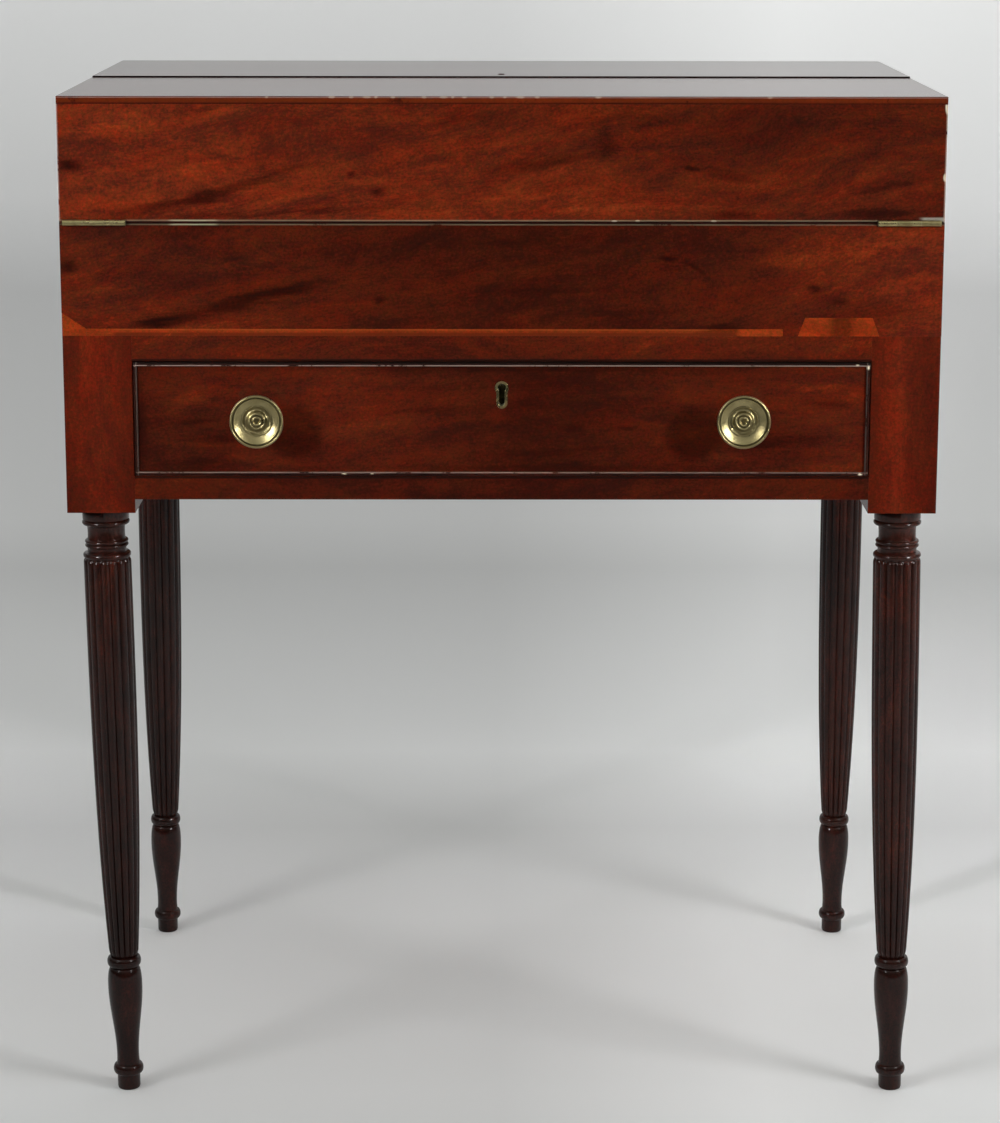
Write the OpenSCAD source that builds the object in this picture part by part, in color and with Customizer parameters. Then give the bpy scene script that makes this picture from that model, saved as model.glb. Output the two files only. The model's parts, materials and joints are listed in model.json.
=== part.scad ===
// Campaign desk: a folding writing box on a stand with four reeded legs and one drawer.
// Z is up and zero is the floor. X runs to the right and -Y is the front.
// The origin lies on the floor under the middle of the whole desk, knobs and hinges included.
// Inside the modules, y is measured from the front face of the case towards the back.

/* [Case] */
// Width of the case and the stand
case_w = 686; // [640:2:740]
// Depth of the case, front face to back face
case_d = 456; // [420:2:500]
// Thickness of the case boards
board_t = 12; // [11:0.5:14]
// Wood of the front boards that covers the ends of the sides
front_lap = 6; // [4:0.5:8]
// Height of the box front, from the stand to the fold line
box_h = 88.5; // [78:0.5:100]
// Height of the lid, from the fold line to its top
lid_h = 97; // [88:1:110]
// Distance of the top seam behind the front face
seam_y = 232; // [215:1:250]
// Thickness of the box bottom
box_bottom_t = 8; // [6:0.5:10]
// Thickness of the partition behind the writing slope
partition_t = 10; // [8:0.5:12]
// Thickness of the till dividers
divider_t = 7; // [5:0.5:9]
// Distance between the two till dividers
divider_span = 230; // [180:5:300]
// Depth of the grooves that hold panels and partitions
housing = 4; // [3:0.5:6]
// Number of dovetails at each back corner of the box
box_tails = 6; // [4:1:8]

/* [Lid and rear flap] */
// Thickness of the lid's top board
lid_top_t = 6; // [5:0.5:8]
// Depth of the rail along the lid's rear edge
lid_rail_d = 20; // [18:1:30]
// Thickness of the rear flap
flap_t = 13; // [12:0.5:15]
// How far the rear flap stands above the lid
flap_proud = 1; // [0:0.25:2]
// Gap between the rear flap and the box under it
flap_gap = 0.3; // [0.2:0.1:0.5]
// Thickness of the two writing panels
panel_t = 7; // [6:0.5:9]
// Wooden border round each baize
baize_border = 28; // [20:1:40]
// Thickness of the baize
baize_t = 1; // [0.8:0.1:1.5]
// Gap along the slope between the closed lid and the box
fold_gap = 0.6; // [0.5:0.1:1]
// Gap between the lid and the rear flap
seam_gap = 0.8; // [0.6:0.1:1.5]

/* [Hinges] */
// Length of each hinge
hinge_l = 48.8; // [42:0.2:56]
// Width of each leaf from the pin's axis
leaf_w = 11.2; // [10:0.2:12]
// Thickness of each leaf
leaf_t = 1.2; // [1:0.1:1.6]
// Radius of the hinge barrel
barrel_r = 2.3; // [2:0.1:2.8]
// Radius of the hinge pin
pin_r = 1.1; // [0.9:0.1:1.3]
// Length of the middle knuckle
knuckle_l = 18; // [12:1:24]
// Room round each barrel
barrel_clear = 0.35; // [0.3:0.05:0.5]
// Radial clearance of the pin in the knuckle that turns
pin_run = 0.05; // [0.03:0.01:0.08]
// Radial clearance of the pin in the knuckles that hold it
pin_hold = 0.02; // [0.01:0.01:0.05]
// Distance of the fold hinges from the sides of the case
fold_hinge_in = 2.8; // [2:0.2:10]
// How far the fold hinges' axis lies in front of the slope
fold_axis_out = 1; // [0.8:0.1:1.6]
// Distance of each rear hinge's middle from the side of the case
rear_hinge_in = 113; // [60:1:160]
// How far the rear hinges' axis lies behind the case
rear_axis_out = 1.5; // [1:0.1:2.2]

/* [Stand] */
// Height of the legs from the floor to the posts
leg_h = 490.5; // [450:0.5:540]
// Width of the square posts
post_w = 54; // [52:1:60]
// How far the posts hang below the lower rail
post_drop = 11; // [6:1:20]
// Height of the lower rail
lower_rail_h = 19; // [18:1:26]
// Height of the upper rail
upper_rail_h = 20; // [19:1:26]
// Depth of both rails
rail_d = 50; // [46:1:60]
// Width of the drawer runners and the kickers
runner_w = 18; // [14:1:24]
// Width and height of the guide strips beside the drawer
guide_w = 12; // [8:1:16]
// Length of the tenons on the rails and aprons
tenon_l = 14; // [10:1:14]
// Thickness of the tenons on the rails and aprons
tenon_t = 6; // [5:0.5:7]
// Setback of the tenon's shoulders at top and bottom
tenon_shoulder = 5; // [4:0.5:6]
// Length of the stub tenons on runners and kickers
stub_l = 7; // [5:0.5:8]
// Distance of each drawer stop's middle from the side of the case
stop_in = 163; // [120:1:220]
// Length of each drawer stop
stop_l = 40; // [30:2:50]
// Height of the drawer stops
stop_h = 5.5; // [4:0.5:6.5]

/* [Drawer] */
// Height of the drawer opening
opening_h = 91; // [84:1:110]
// Gap at the top and sides of the drawer
drawer_gap = 0.8; // [0.5:0.1:1.5]
// Gap under the drawer and before its stops
drawer_run = 0.3; // [0.2:0.1:0.5]
// Room between the drawer and the back apron
drawer_room = 24; // [12:1:60]
// Thickness of the drawer front
front_t = 19; // [18:0.5:22]
// Thickness of the drawer's sides and back
side_t = 9; // [8:0.5:11]
// Height of the drawer's sides
side_h = 80; // [70:1:82]
// Thickness of the drawer bottom
drawer_bottom_t = 6; // [5:0.5:8]
// Height of the drawer bottom above the drawer's lower edge
groove_up = 8; // [7:0.5:10]
// Wood left between the cockbead and the drawer's front dovetails
dovetail_lap = 1.5; // [1:0.5:3]
// Number of dovetails at each corner of the drawer
drawer_tails = 3; // [2:1:4]
// Thickness of the cockbead
bead_t = 3; // [2:0.5:4]
// How far the cockbead stands in front of the case
bead_proud = 2; // [1:0.25:3]
// How far the cockbead is let in behind the drawer's face
bead_in = 8; // [6:0.5:9]

/* [Knobs and locks] */
// Diameter of the knobs
knob_d = 42; // [36:0.5:48]
// Projection of the knobs from the drawer front
knob_proj = 31; // [27:0.5:36]
// Distance of each knob from the side of the case
knob_in = 154; // [130:1:175]
// Sideways place of the middle of the pair
knob_shift = -1.3; // [-3:0.1:3]
// Height of the knobs above the bottom of the drawer opening
knob_up = 48; // [42:0.5:54]
// Diameter of the knob's stem
stem_d = 13; // [11:0.5:16]
// Diameter of the knob's threaded shank
shank_d = 6; // [5:0.5:7]
// Radial clearance of shanks and screws
shank_clear = 0.05; // [0.03:0.01:0.1]
// Width of the square knob nuts
nut_w = 13; // [11:0.5:16]
// Thickness of the knob nuts
nut_t = 4; // [3:0.5:6]
// Width of each lock case
lock_w = 60; // [50:2:70]
// Depth of each lock case behind its edge plate
lock_d = 44; // [40:1:50]
// Thickness of each lock case
lock_t = 9; // [8:0.5:9.5]
// Thickness of the lock plates
plate_t = 1.5; // [1:0.25:2]
// Width of the lock bolts
bolt_w = 22; // [16:1:28]
// Length of the lock bolts
bolt_l = 14; // [12:0.5:15]
// Thickness of the lock bolts
bolt_t = 3.2; // [2.5:0.1:3.6]
// Distance that the bolts move
bolt_throw = 6; // [4:0.5:7]
// Clearance round each bolt
bolt_clear = 0.1; // [0.05:0.05:0.2]
// Distance of each key pin behind the lock's edge plate
key_down = 20.3; // [18:0.1:23]
// Radius of the key pin
key_pin_r = 1.2; // [1:0.1:1.5]
// Radius of the round head of the keyhole
keyhole_r = 3.4; // [2.8:0.1:4]
// Half width of the keyhole's slot
keyhole_slot = 2.3; // [1.8:0.1:2.6]
// Length of the keyhole's slot, centre to centre
keyhole_l = 11.9; // [10:0.1:14]
// Wall of the brass keyhole liner
liner_t = 2; // [1:0.1:2.5]

/* [Screws] */
// Radius of the heads of the small screws
screw_head_r = 2.8; // [2.2:0.1:3.2]
// Height of the heads of the small screws
screw_head_h = 1.2; // [1:0.1:1.8]
// Radius of the shanks of the small screws
screw_r = 1.1; // [0.9:0.1:1.3]
// Length of the small screws
screw_l = 9.5; // [8:0.5:10]
// Radius of the shanks of the screws that hold the box on the stand
box_screw_r = 2.2; // [1.8:0.1:2.8]
// Length of the screws that hold the box on the stand
box_screw_l = 24; // [18:1:26]

/* [Legs] */
// Lean of the front left leg to the right, in degrees
lean_front_left = 0.92; // [-1:0.01:1]
// Lean of the front right leg to the right, in degrees
lean_front_right = 0.79; // [-1:0.01:1]
// Radius of the leg's round tenon
leg_tenon_r = 11.2; // [9:0.1:11.2]
// Length of the leg's round tenon
leg_tenon_l = 58; // [40:1:64]
// Number of reeds
reeds = 16; // [12:1:20]
// Depth of the grooves between the reeds
reed_depth = 1.7; // [1:0.1:2.2]
// Radius over the reeds at the top of the shaft
shaft_top_r = 19.1; // [18:0.1:21]
// Radius over the reeds at the bottom of the shaft
shaft_foot_r = 11.8; // [11:0.1:13]
// Fullness of the shaft's curve
shaft_curve = 3.1; // [2:0.1:4]
// Height of the collar where the shaft ends
collar_z = 106; // [96:1:116]
// Height of the collar's bead
collar_h = 8.5; // [7:0.5:10]
// Radius of the collar
collar_r = 13.85; // [13:0.05:15]
// Largest radius of the vase
vase_r = 14.05; // [13:0.05:15.5]
// Height of the vase's fullest place
vase_z = 90; // [82:1:94]
// Radius of the ankle under the vase
ankle_r = 9.05; // [8:0.05:10]
// Height of the ankle
ankle_z = 29; // [27:0.5:34]
// Height of the peg under the foot ring
peg_h = 12.5; // [10:0.5:14]
// Radius of the peg
peg_r = 9.4; // [8:0.1:10.5]
// Radius of the foot ring
foot_ring_r = 12.3; // [11.5:0.1:14]
// Height of the foot ring
foot_ring_h = 9; // [7:0.5:11]
// Radius of the disc under the post
disc_r = 18.5; // [17:0.1:20]
// Height of the disc under the post
disc_h = 9.5; // [8:0.5:12]
// Radius of the ring above the neck
neck_ring_r = 19; // [17:0.1:21]
// Height of the ring above the neck
neck_ring_h = 4.5; // [3.5:0.5:6]
// Radius of the plain neck
neck_r = 15.05; // [14:0.05:17]
// Height of the plain neck
neck_h = 11.8; // [9:0.1:15]
// Radius of the pair of beads under the neck
astragal_r = 17.3; // [16:0.1:19]
// Height of the pair of beads under the neck
astragal_h = 6.2; // [5:0.1:8]
// Radius of the hollow under the beads
hollow_r = 15.5; // [14:0.1:17]
// Height of the hollow under the beads
hollow_h = 4.5; // [3.5:0.5:6]
// Height of the ring at the head of the reeds
head_ring_h = 4; // [3:0.5:5]

/* [Repairs] */
// Height of the pale strip let into the lower edge of the box front
strip_h = 5.5; // [4:0.5:8]
// Distance of the strip's left end from the left side of the case
strip_start = 19; // [15:1:30]
// Distance of the trapezoid piece from the right side of the case
patch_in = 48.5; // [10:0.5:80]
// Height of the triangular corner piece
corner_patch_h = 18; // [12:1:24]
// Height of the trapezoid piece
patch_h = 14.5; // [10:0.5:20]
// Length of the trapezoid piece's lower edge
patch_l = 63.5; // [50:0.5:70]
// Length of each of the trapezoid piece's slanted ends, along the edge
patch_slant = 5.5; // [3:0.5:10]
// Gap between the strip and the trapezoid piece
patch_gap = 12; // [6:1:20]
// Depth of the let-in pieces
patch_t = 2; // [1:0.25:3]

/* [Hidden] */
$fn = 48;

// Wood and metal as the photo shows them
mahogany = "#6b2413";
dark_mahogany = "#40170e";
pale_mahogany = "#a04e22";
inner_wood = "#8a5a34";
brass = "#a8965a";
steel = "#6d6a64";
green_baize = "#3c5a35";

// Heights and places that follow from the sizes
case_x = case_w / 2;
inner_x = case_x - board_t;
rail_z = leg_h + post_drop;
opening_z = rail_z + lower_rail_h;
opening_top_z = opening_z + opening_h;
stand_z = opening_top_z + upper_rail_h;
fold_z = stand_z + box_h;
top_z = fold_z + lid_h;
flap_z = top_z + flap_proud - flap_t;
side_z = flap_z - flap_gap;
lid_board_z = top_z - lid_top_t;
lid_rear_y = seam_y - seam_gap / 2;
flap_front_y = seam_y + seam_gap / 2;
slope = atan2(side_z - fold_z, seam_y);
back_y = case_d - board_t;
post_x = case_x - post_w;
leg_x = case_x - post_w / 2;
front_y = -(case_d + rear_axis_out + barrel_r - knob_proj) / 2;
fold_hinge_x = case_x - fold_hinge_in - hinge_l / 2;
knuckle_gap = 0.2;
leaf_inner = barrel_r + barrel_clear;
leaf_screw_y = (leaf_inner + leaf_w) / 2;
hinge_screw_x = hinge_l / 2 - 8;
drawer_x = post_x - drawer_gap;
drawer_l = back_y - drawer_room;
drawer_z = opening_z + drawer_run;
drawer_top_z = opening_top_z - drawer_gap;
drawer_bottom_z = drawer_z + groove_up;
drawer_back_y = drawer_l - side_t;
knob_z = opening_z + knob_up;
knob_x = case_x - knob_in;
knob_xs = [knob_shift - knob_x, knob_shift + knob_x];
stop_x = case_x - stop_in;
rear_hinge_x = case_x - rear_hinge_in;
bolt_y = lock_t - plate_t - bolt_t - 0.3;
lock_wall = 2;
lock_screw_in = 5;
lock_screw_l = lock_t + 5;
flap_screw_l = lock_t + 3;
mortise_x = bolt_w / 2 + 1;
mortise_l = bolt_throw + 3;
strike_t = 1.2;
strike_ear = 13;
strike_w = bolt_w + 2 * strike_ear;
strike_screw_x = strike_w / 2 - strike_ear / 2 + 1.5;
strike_h = 9;
box_head_h = 2.5;
slot_w = 0.6;
mitre_gap = 0.05;
reed_groove = 0.8;
stub_side = 4;
stub_shoulder = 6;
strip_l = case_w - strip_start - patch_gap - patch_l - patch_in;
eps = 0.01;

// Height of the slope above the floor at depth y, moved square to the slope by off
function slope_z(y, off = 0) = fold_z + y * tan(slope) + off / cos(slope);

// Helpers for placing and building
module from_front() translate([0, front_y, 0]) children();
module on_side(s) mirror([s < 0 ? 1 : 0, 0, 0]) children();
module both_sides() for (s = [-1, 1]) on_side(s) children();

module block(x0, x1, y0, y1, z0, z1)
    translate([x0, y0, z0]) cube([x1 - x0, y1 - y0, z1 - z0]);

// A board whose outline lies in the depth and height plane
module slab(x0, x1, points)
    translate([x0, 0, 0]) rotate([90, 0, 90]) linear_extrude(x1 - x0) polygon(points);

// A band along the slope from y0 to y1, between two distances square to the slope
module slope_band(x, y0, y1, off0, off1)
    slab(-x, x, [[y0, slope_z(y0, off0)], [y1, slope_z(y1, off0)],
                 [y1, slope_z(y1, off1)], [y0, slope_z(y0, off1)]]);

// Dovetails between two depths, narrow at y_root and wide at y_end
module tails(x0, x1, y_root, y_end, z0, z1, count) {
    pitch = (z1 - z0) / count;
    for (i = [0 : count - 1]) {
        z = z0 + (i + 0.5) * pitch;
        slab(x0, x1, [[y_root, z - 0.26 * pitch], [y_end, z - 0.36 * pitch],
                      [y_end, z + 0.36 * pitch], [y_root, z + 0.26 * pitch]]);
    }
}

// A countersunk screw whose head lies at z = 0. Its hole is the same shape with a radial clearance
module countersunk(head_r, head_h, r, length, grow) rotate_extrude() polygon(concat(
    grow > 0 ? [[0, eps], [head_r + grow, eps]] : [[0, 0]],
    [[head_r + grow, 0], [r + grow, -head_h], [r + grow, -length], [0, -length]]));

module screw(length, grow = 0) countersunk(screw_head_r, screw_head_h, screw_r, length, grow);

module slotted_screw(length) difference() {
    screw(length);
    translate([-2 * screw_head_r, -slot_w / 2, -screw_head_h / 2])
        cube([4 * screw_head_r, slot_w, screw_head_h]);
}

// Hinges: x runs along the pin, y from the pin into the wood, z up from the joint
module at_fold_hinges() for (s = [-1, 1])
    translate([s * fold_hinge_x, -fold_axis_out * cos(slope), fold_z - fold_axis_out * sin(slope)])
        rotate([slope, 0, 0]) children();

module at_rear_hinges() for (s = [-1, 1])
    translate([s * rear_hinge_x, case_d + rear_axis_out, side_z + flap_gap / 2])
        rotate([0, 0, 180]) children();

module downwards() mirror([0, 0, 1]) children();

module along_x(x0, x1, r) translate([x0, 0, 0]) rotate([0, 90, 0]) cylinder(h = x1 - x0, r = r);

module at_leaf_screws() for (x = [-hinge_screw_x, 0, hinge_screw_x])
    translate([x, leaf_screw_y, 0]) children();

// Half of a hinge above its joint: the turning half has the middle knuckle
module hinge_half(turning, gap) {
    mid = knuckle_l / 2;
    spans = turning ? [[-mid + knuckle_gap, mid - knuckle_gap]]
                    : [[-hinge_l / 2, -mid], [mid, hinge_l / 2]];
    difference() {
        union() {
            block(-hinge_l / 2, hinge_l / 2, leaf_inner, leaf_w, gap / 2, gap / 2 + leaf_t);
            for (span = spans) {
                along_x(span[0], span[1], barrel_r);
                block(span[0], span[1], 0, leaf_inner + eps, gap / 2, gap / 2 + leaf_t);
            }
        }
        along_x(-hinge_l, hinge_l, pin_r + (turning ? pin_run : pin_hold));
        at_leaf_screws() translate([0, 0, gap / 2]) downwards() screw(screw_l, shank_clear);
    }
}

// The room that half a hinge takes in the board above its joint
module hinge_pocket(gap) {
    block(-hinge_l / 2, hinge_l / 2, 0, leaf_w, -eps, gap / 2 + leaf_t);
    along_x(-hinge_l / 2 - barrel_clear, hinge_l / 2 + barrel_clear, leaf_inner);
    at_leaf_screws() translate([0, 0, gap / 2]) downwards() screw(screw_l, shank_clear);
}

module leaf_screws(gap) at_leaf_screws()
    translate([0, 0, gap / 2]) downwards() slotted_screw(screw_l);

// Locks: z runs out of the edge plate along the bolt's travel, y from the key's side inwards
module at_drawer_lock() translate([0, front_t - lock_t, drawer_top_z]) children();
module at_top_lock() translate([0, flap_front_y, flap_z + lock_t])
    rotate([90, 0, 0]) mirror([0, 1, 0]) children();

module keyhole(grow, depth) rotate([90, 0, 0]) linear_extrude(depth) {
    circle(keyhole_r + grow);
    translate([0, -keyhole_l]) circle(keyhole_slot + grow);
    translate([-keyhole_slot - grow, -keyhole_l]) square([2 * (keyhole_slot + grow), keyhole_l]);
}

module at_key() translate([0, 0, -key_down]) children();

module at_lock_screws() for (x = [-1, 1], z = [-lock_screw_in - 2, lock_screw_in - lock_d])
    translate([x * (lock_w / 2 - lock_screw_in), lock_t, z]) rotate([-90, 0, 0]) children();

module lock_body() block(-lock_w / 2, lock_w / 2, 0, lock_t, -lock_d, 0);

module lock_case() {
    difference() {
        lock_body();
        block(-bolt_w / 2 - lock_wall, bolt_w / 2 + lock_wall, plate_t, lock_t - plate_t,
              lock_wall - lock_d, -lock_wall);
        block(-bolt_w / 2 - bolt_clear, bolt_w / 2 + bolt_clear,
              bolt_y - bolt_clear, bolt_y + bolt_t + bolt_clear, -3, 1);
        at_key() translate([0, plate_t + eps, 0]) keyhole(0, 2 * plate_t);
        at_lock_screws() screw(lock_screw_l, shank_clear);
    }
    at_key() translate([0, lock_t - plate_t + eps, 0]) rotate([90, 0, 0])
        cylinder(h = lock_t, r = key_pin_r);
}

module lock_bolt() block(-bolt_w / 2, bolt_w / 2, bolt_y, bolt_y + bolt_t, -bolt_l, 0);

// The room beyond the edge plate that the thrown bolt needs
module bolt_mortise() block(-mortise_x, mortise_x, bolt_y - 0.5, bolt_y + bolt_t + 0.5, 0, mortise_l);

// Tenons of the rails and aprons, shared with their mortises
module rail_tenon(z0, height) both_sides()
    block(post_x - eps, post_x + tenon_l, post_w / 2 - 2 * tenon_t, post_w / 2 + 2 * tenon_t,
          z0 + tenon_shoulder, z0 + height - tenon_shoulder);

module apron_side_tenons() {
    x = case_x - board_t / 2;
    for (y = [[post_w - tenon_l, post_w + eps], [case_d - post_w - eps, case_d - post_w + tenon_l]])
        block(x - tenon_t / 2, x + tenon_t / 2, y[0], y[1],
              rail_z + tenon_shoulder, stand_z - tenon_shoulder);
}

module apron_back_tenons() both_sides() {
    y = case_d - board_t / 2;
    block(post_x - eps, post_x + tenon_l, y - tenon_t / 2, y + tenon_t / 2,
          rail_z + tenon_shoulder, stand_z - tenon_shoulder);
}

// Stub tenons at both ends of a runner or kicker
module stub_tenons(z0, height) both_sides()
    for (y = [[rail_d - stub_l, rail_d + eps], [back_y - eps, back_y + stub_l]])
        block(post_x - runner_w + stub_side, post_x - stub_side, y[0], y[1],
              z0 + stub_shoulder, z0 + height - stub_shoulder);

// Legs: each frame leans about the middle of the joint under its post
module at_leg(s, back, lean)
    translate([s * leg_x, back ? case_d - post_w / 2 : post_w / 2, leg_h])
        rotate([0, -lean, 0]) children();

module post(s, back, lean) difference() {
    on_side(s) block(post_x, case_x, back ? case_d - post_w : 0, back ? case_d : post_w,
                     leg_h, stand_z);
    at_leg(s, back, lean) translate([0, 0, -1])
        cylinder(h = leg_tenon_l + 2, r = leg_tenon_r + shank_clear);
    rail_tenon(rail_z, lower_rail_h);
    rail_tenon(opening_top_z, upper_rail_h);
    both_sides() apron_side_tenons();
    apron_back_tenons();
}

// Points of a turned bead from z1 down to z0, standing out from r_in to r_out
function bead(z1, z0, r_in, r_out, n = 8) = [
    for (i = [0 : n]) let(a = 180 * i / n)
        [r_in + (r_out - r_in) * sin(a), z1 + (z0 - z1) * (1 - cos(a)) / 2]
];

// Points of a smooth swelling from r1 at z1 down to r0 at z0
function swell(z1, z0, r1, r0, n = 10) = [
    for (i = [0 : n]) [r0 + (r1 - r0) * (1 + cos(180 * i / n)) / 2, z1 + (z0 - z1) * i / n]
];

// Points of a quarter round from r1 at z1 down and out to r0 at z0
function shoulder(z1, z0, r1, r0, n = 6) = [
    for (i = [0 : n]) [r1 + (r0 - r1) * sin(90 * i / n), z0 + (z1 - z0) * cos(90 * i / n)]
];

// Heights of the turned parts, measured down from the post
neck_ring_z = leg_h - disc_h;
neck_z = neck_ring_z - neck_ring_h;
astragal_z = neck_z - neck_h;
hollow_z = astragal_z - astragal_h;
head_ring_z = hollow_z - hollow_h;
reed_top_z = head_ring_z - head_ring_h - reed_groove;
reed_foot_z = collar_z + collar_h;
reed_hold = 1;
over = 5;

// The turned parts above and below the reeded shaft, whose ends they hold
module leg_turning() rotate_extrude() {
    polygon(concat(
        [[0, leg_h + over], [disc_r, leg_h + over], [disc_r, neck_ring_z]],
        bead(neck_ring_z, neck_z, neck_r + 1.5, neck_ring_r),
        [[neck_r, neck_z - 1], [neck_r - 0.2, neck_z - neck_h / 2], [neck_r, astragal_z + 0.5]],
        bead(astragal_z, astragal_z - astragal_h / 2 + 0.2, hollow_r + 0.3, astragal_r),
        bead(astragal_z - astragal_h / 2 - 0.2, hollow_z, hollow_r + 0.3, astragal_r),
        [[hollow_r, hollow_z - hollow_h / 2]],
        bead(head_ring_z, head_ring_z - head_ring_h, shaft_top_r - reed_depth + 0.3, shaft_top_r),
        [[shaft_top_r - reed_depth + 0.2, reed_top_z], [0, reed_top_z]]));
    polygon(concat(
        [[0, reed_foot_z]],
        bead(reed_foot_z, collar_z, shaft_foot_r - 0.2, collar_r),
        shoulder(collar_z - 0.6, vase_z + 0.5, ankle_r + 2.2, vase_r),
        swell(vase_z - 0.5, ankle_z, vase_r, ankle_r),
        [[ankle_r, peg_h + foot_ring_h + 4]],
        bead(peg_h + foot_ring_h, peg_h, peg_r + 0.2, foot_ring_r),
        [[peg_r, peg_h - 0.4], [peg_r - 0.2, -over], [0, -over]]));
}

// Radius over the reeds at height t, from 0 at the foot of the shaft to 1 at its top
function shaft_r(t) = shaft_foot_r + (shaft_top_r - shaft_foot_r) * (1 - pow(1 - t, shaft_curve));

// Fullness of the reeds near their rounded ends, at height z
function reed_full(z) = let(top = (reed_top_z - z) / 3.2, foot = (z - reed_foot_z) / 5)
    min(1, sqrt(max(0, 1 - pow(1 - min(1, max(0, top)), 2))), sqrt(min(1, max(0, foot))));

// The reeded shaft: rings of points, four to each reed, closed at both ends
module reeded_shaft() {
    span = reed_top_z - reed_foot_z;
    heights = concat([reed_foot_z - reed_hold, reed_foot_z, reed_foot_z + 1.6, reed_foot_z + 5],
                     [for (i = [1 : 9]) reed_foot_z + 5 + (span - 8.2) * i / 9],
                     [reed_top_z - 1.8, reed_top_z - 0.7, reed_top_z, reed_top_z + reed_hold]);
    sides = 4 * reeds;
    dips = [1, 0.22, 0, 0.22];
    points = [for (z = heights, k = [0 : sides - 1])
        let(full = reed_full(z),
            crest = shaft_r(min(1, max(0, (z - reed_foot_z) / span))),
            r = crest - reed_depth * (1 - full * (1 - dips[k % 4])),
            a = 360 * k / sides)
        [r * cos(a), r * sin(a), z]];
    last = (len(heights) - 1) * sides;
    faces = concat(
        [for (j = [0 : len(heights) - 2], k = [0 : sides - 1])
            let(a = j * sides + k, b = j * sides + (k + 1) % sides)
            each [[a, a + sides, b + sides], [a, b + sides, b]]],
        [for (k = [1 : sides - 2]) [0, k, k + 1]],
        [for (k = [1 : sides - 2]) [last, last + k + 1, last + k]]);
    polyhedron(points, faces);
}

module leg(s, back, lean) color(dark_mahogany) from_front() {
    difference() {
        at_leg(s, back, lean) translate([0, 0, -leg_h]) {
            leg_turning();
            reeded_shaft();
        }
        block(-case_w, case_w, -case_d, 2 * case_d, -2 * over, 0);
        block(-case_w, case_w, -case_d, 2 * case_d, leg_h, leg_h + 2 * over);
    }
    at_leg(s, back, lean) translate([0, 0, -1]) cylinder(h = leg_tenon_l + 1, r = leg_tenon_r);
}

module leg_front_left() leg(-1, false, lean_front_left);
module leg_front_right() leg(1, false, lean_front_right);
module leg_rear_left() leg(-1, true, 0);
module leg_rear_right() leg(1, true, 0);

module post_front_left() color(mahogany) from_front() post(-1, false, lean_front_left);
module post_front_right() color(mahogany) from_front() post(1, false, lean_front_right);
module post_rear_left() color(mahogany) from_front() post(-1, true, 0);
module post_rear_right() color(mahogany) from_front() post(1, true, 0);

module apron_side(s) color(mahogany) from_front() on_side(s) {
    block(inner_x, case_x, post_w, case_d - post_w, rail_z, stand_z);
    apron_side_tenons();
}

module apron_left() apron_side(-1);
module apron_right() apron_side(1);

module apron_back() color(mahogany) from_front() difference() {
    union() {
        block(-post_x, post_x, back_y, case_d, rail_z, stand_z);
        apron_back_tenons();
    }
    stub_tenons(rail_z, lower_rail_h);
    stub_tenons(opening_top_z, upper_rail_h);
}

module rail_lower() color(mahogany) from_front() difference() {
    union() {
        block(-post_x, post_x, 0, rail_d, rail_z, opening_z);
        rail_tenon(rail_z, lower_rail_h);
    }
    stub_tenons(rail_z, lower_rail_h);
}

module rail_upper() color(mahogany) from_front() difference() {
    union() {
        block(-post_x, post_x, 0, rail_d, opening_top_z, stand_z);
        rail_tenon(opening_top_z, upper_rail_h);
    }
    stub_tenons(opening_top_z, upper_rail_h);
    at_drawer_lock() translate([0, 0, drawer_gap - eps]) bolt_mortise();
    at_box_screws() screw_shank();
}

// Runners between the rail and the back, with guide strips between the posts
module drawer_runners() color(inner_wood) from_front() {
    both_sides() {
        block(post_x - runner_w, post_x, rail_d, back_y, rail_z, opening_z);
        block(post_x - eps, inner_x, post_w, case_d - post_w, rail_z, opening_z);
        block(post_x, post_x + guide_w, post_w, case_d - post_w, opening_z - eps, opening_z + guide_w);
    }
    stub_tenons(rail_z, lower_rail_h);
}

module drawer_kickers() color(inner_wood) from_front() difference() {
    union() {
        both_sides() block(post_x - runner_w, post_x, rail_d, back_y, opening_top_z, stand_z);
        stub_tenons(opening_top_z, upper_rail_h);
    }
    at_box_screws() screw_shank();
}

module drawer_stops() color(inner_wood) from_front() both_sides()
    block(stop_x - stop_l / 2, stop_x + stop_l / 2, front_t + drawer_run, rail_d,
          opening_z, opening_z + stop_h);

// Drawer
module drawer_bottom_board() block(-drawer_x + side_t - housing, drawer_x - side_t + housing,
                                   front_t - housing, drawer_l,
                                   drawer_bottom_z, drawer_bottom_z + drawer_bottom_t);

module drawer_front_tails(x1) tails(drawer_x - side_t, x1, front_t, bead_in + dovetail_lap,
                                    drawer_z, drawer_z + side_h, drawer_tails);

module drawer_back_tails(x1) tails(drawer_x - side_t, x1, drawer_back_y, drawer_l,
                                   drawer_bottom_z + drawer_bottom_t, drawer_z + side_h, drawer_tails);

module drawer_front() color(mahogany) from_front() difference() {
    union() {
        block(-drawer_x + bead_t, drawer_x - bead_t, 0, bead_in,
              drawer_z + bead_t, drawer_top_z - bead_t);
        block(-drawer_x, drawer_x, bead_in, front_t, drawer_z, drawer_top_z);
    }
    both_sides() drawer_front_tails(drawer_x + 1);
    drawer_bottom_board();
    at_drawer_lock() {
        lock_body();
        at_key() translate([0, eps, 0]) keyhole(liner_t, front_t);
        at_lock_screws() screw(lock_screw_l, shank_clear);
    }
    for (x = knob_xs) translate([x, front_t + 1, knob_z]) rotate([90, 0, 0])
        cylinder(h = front_t + 2, d = shank_d + 2 * shank_clear);
}

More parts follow.
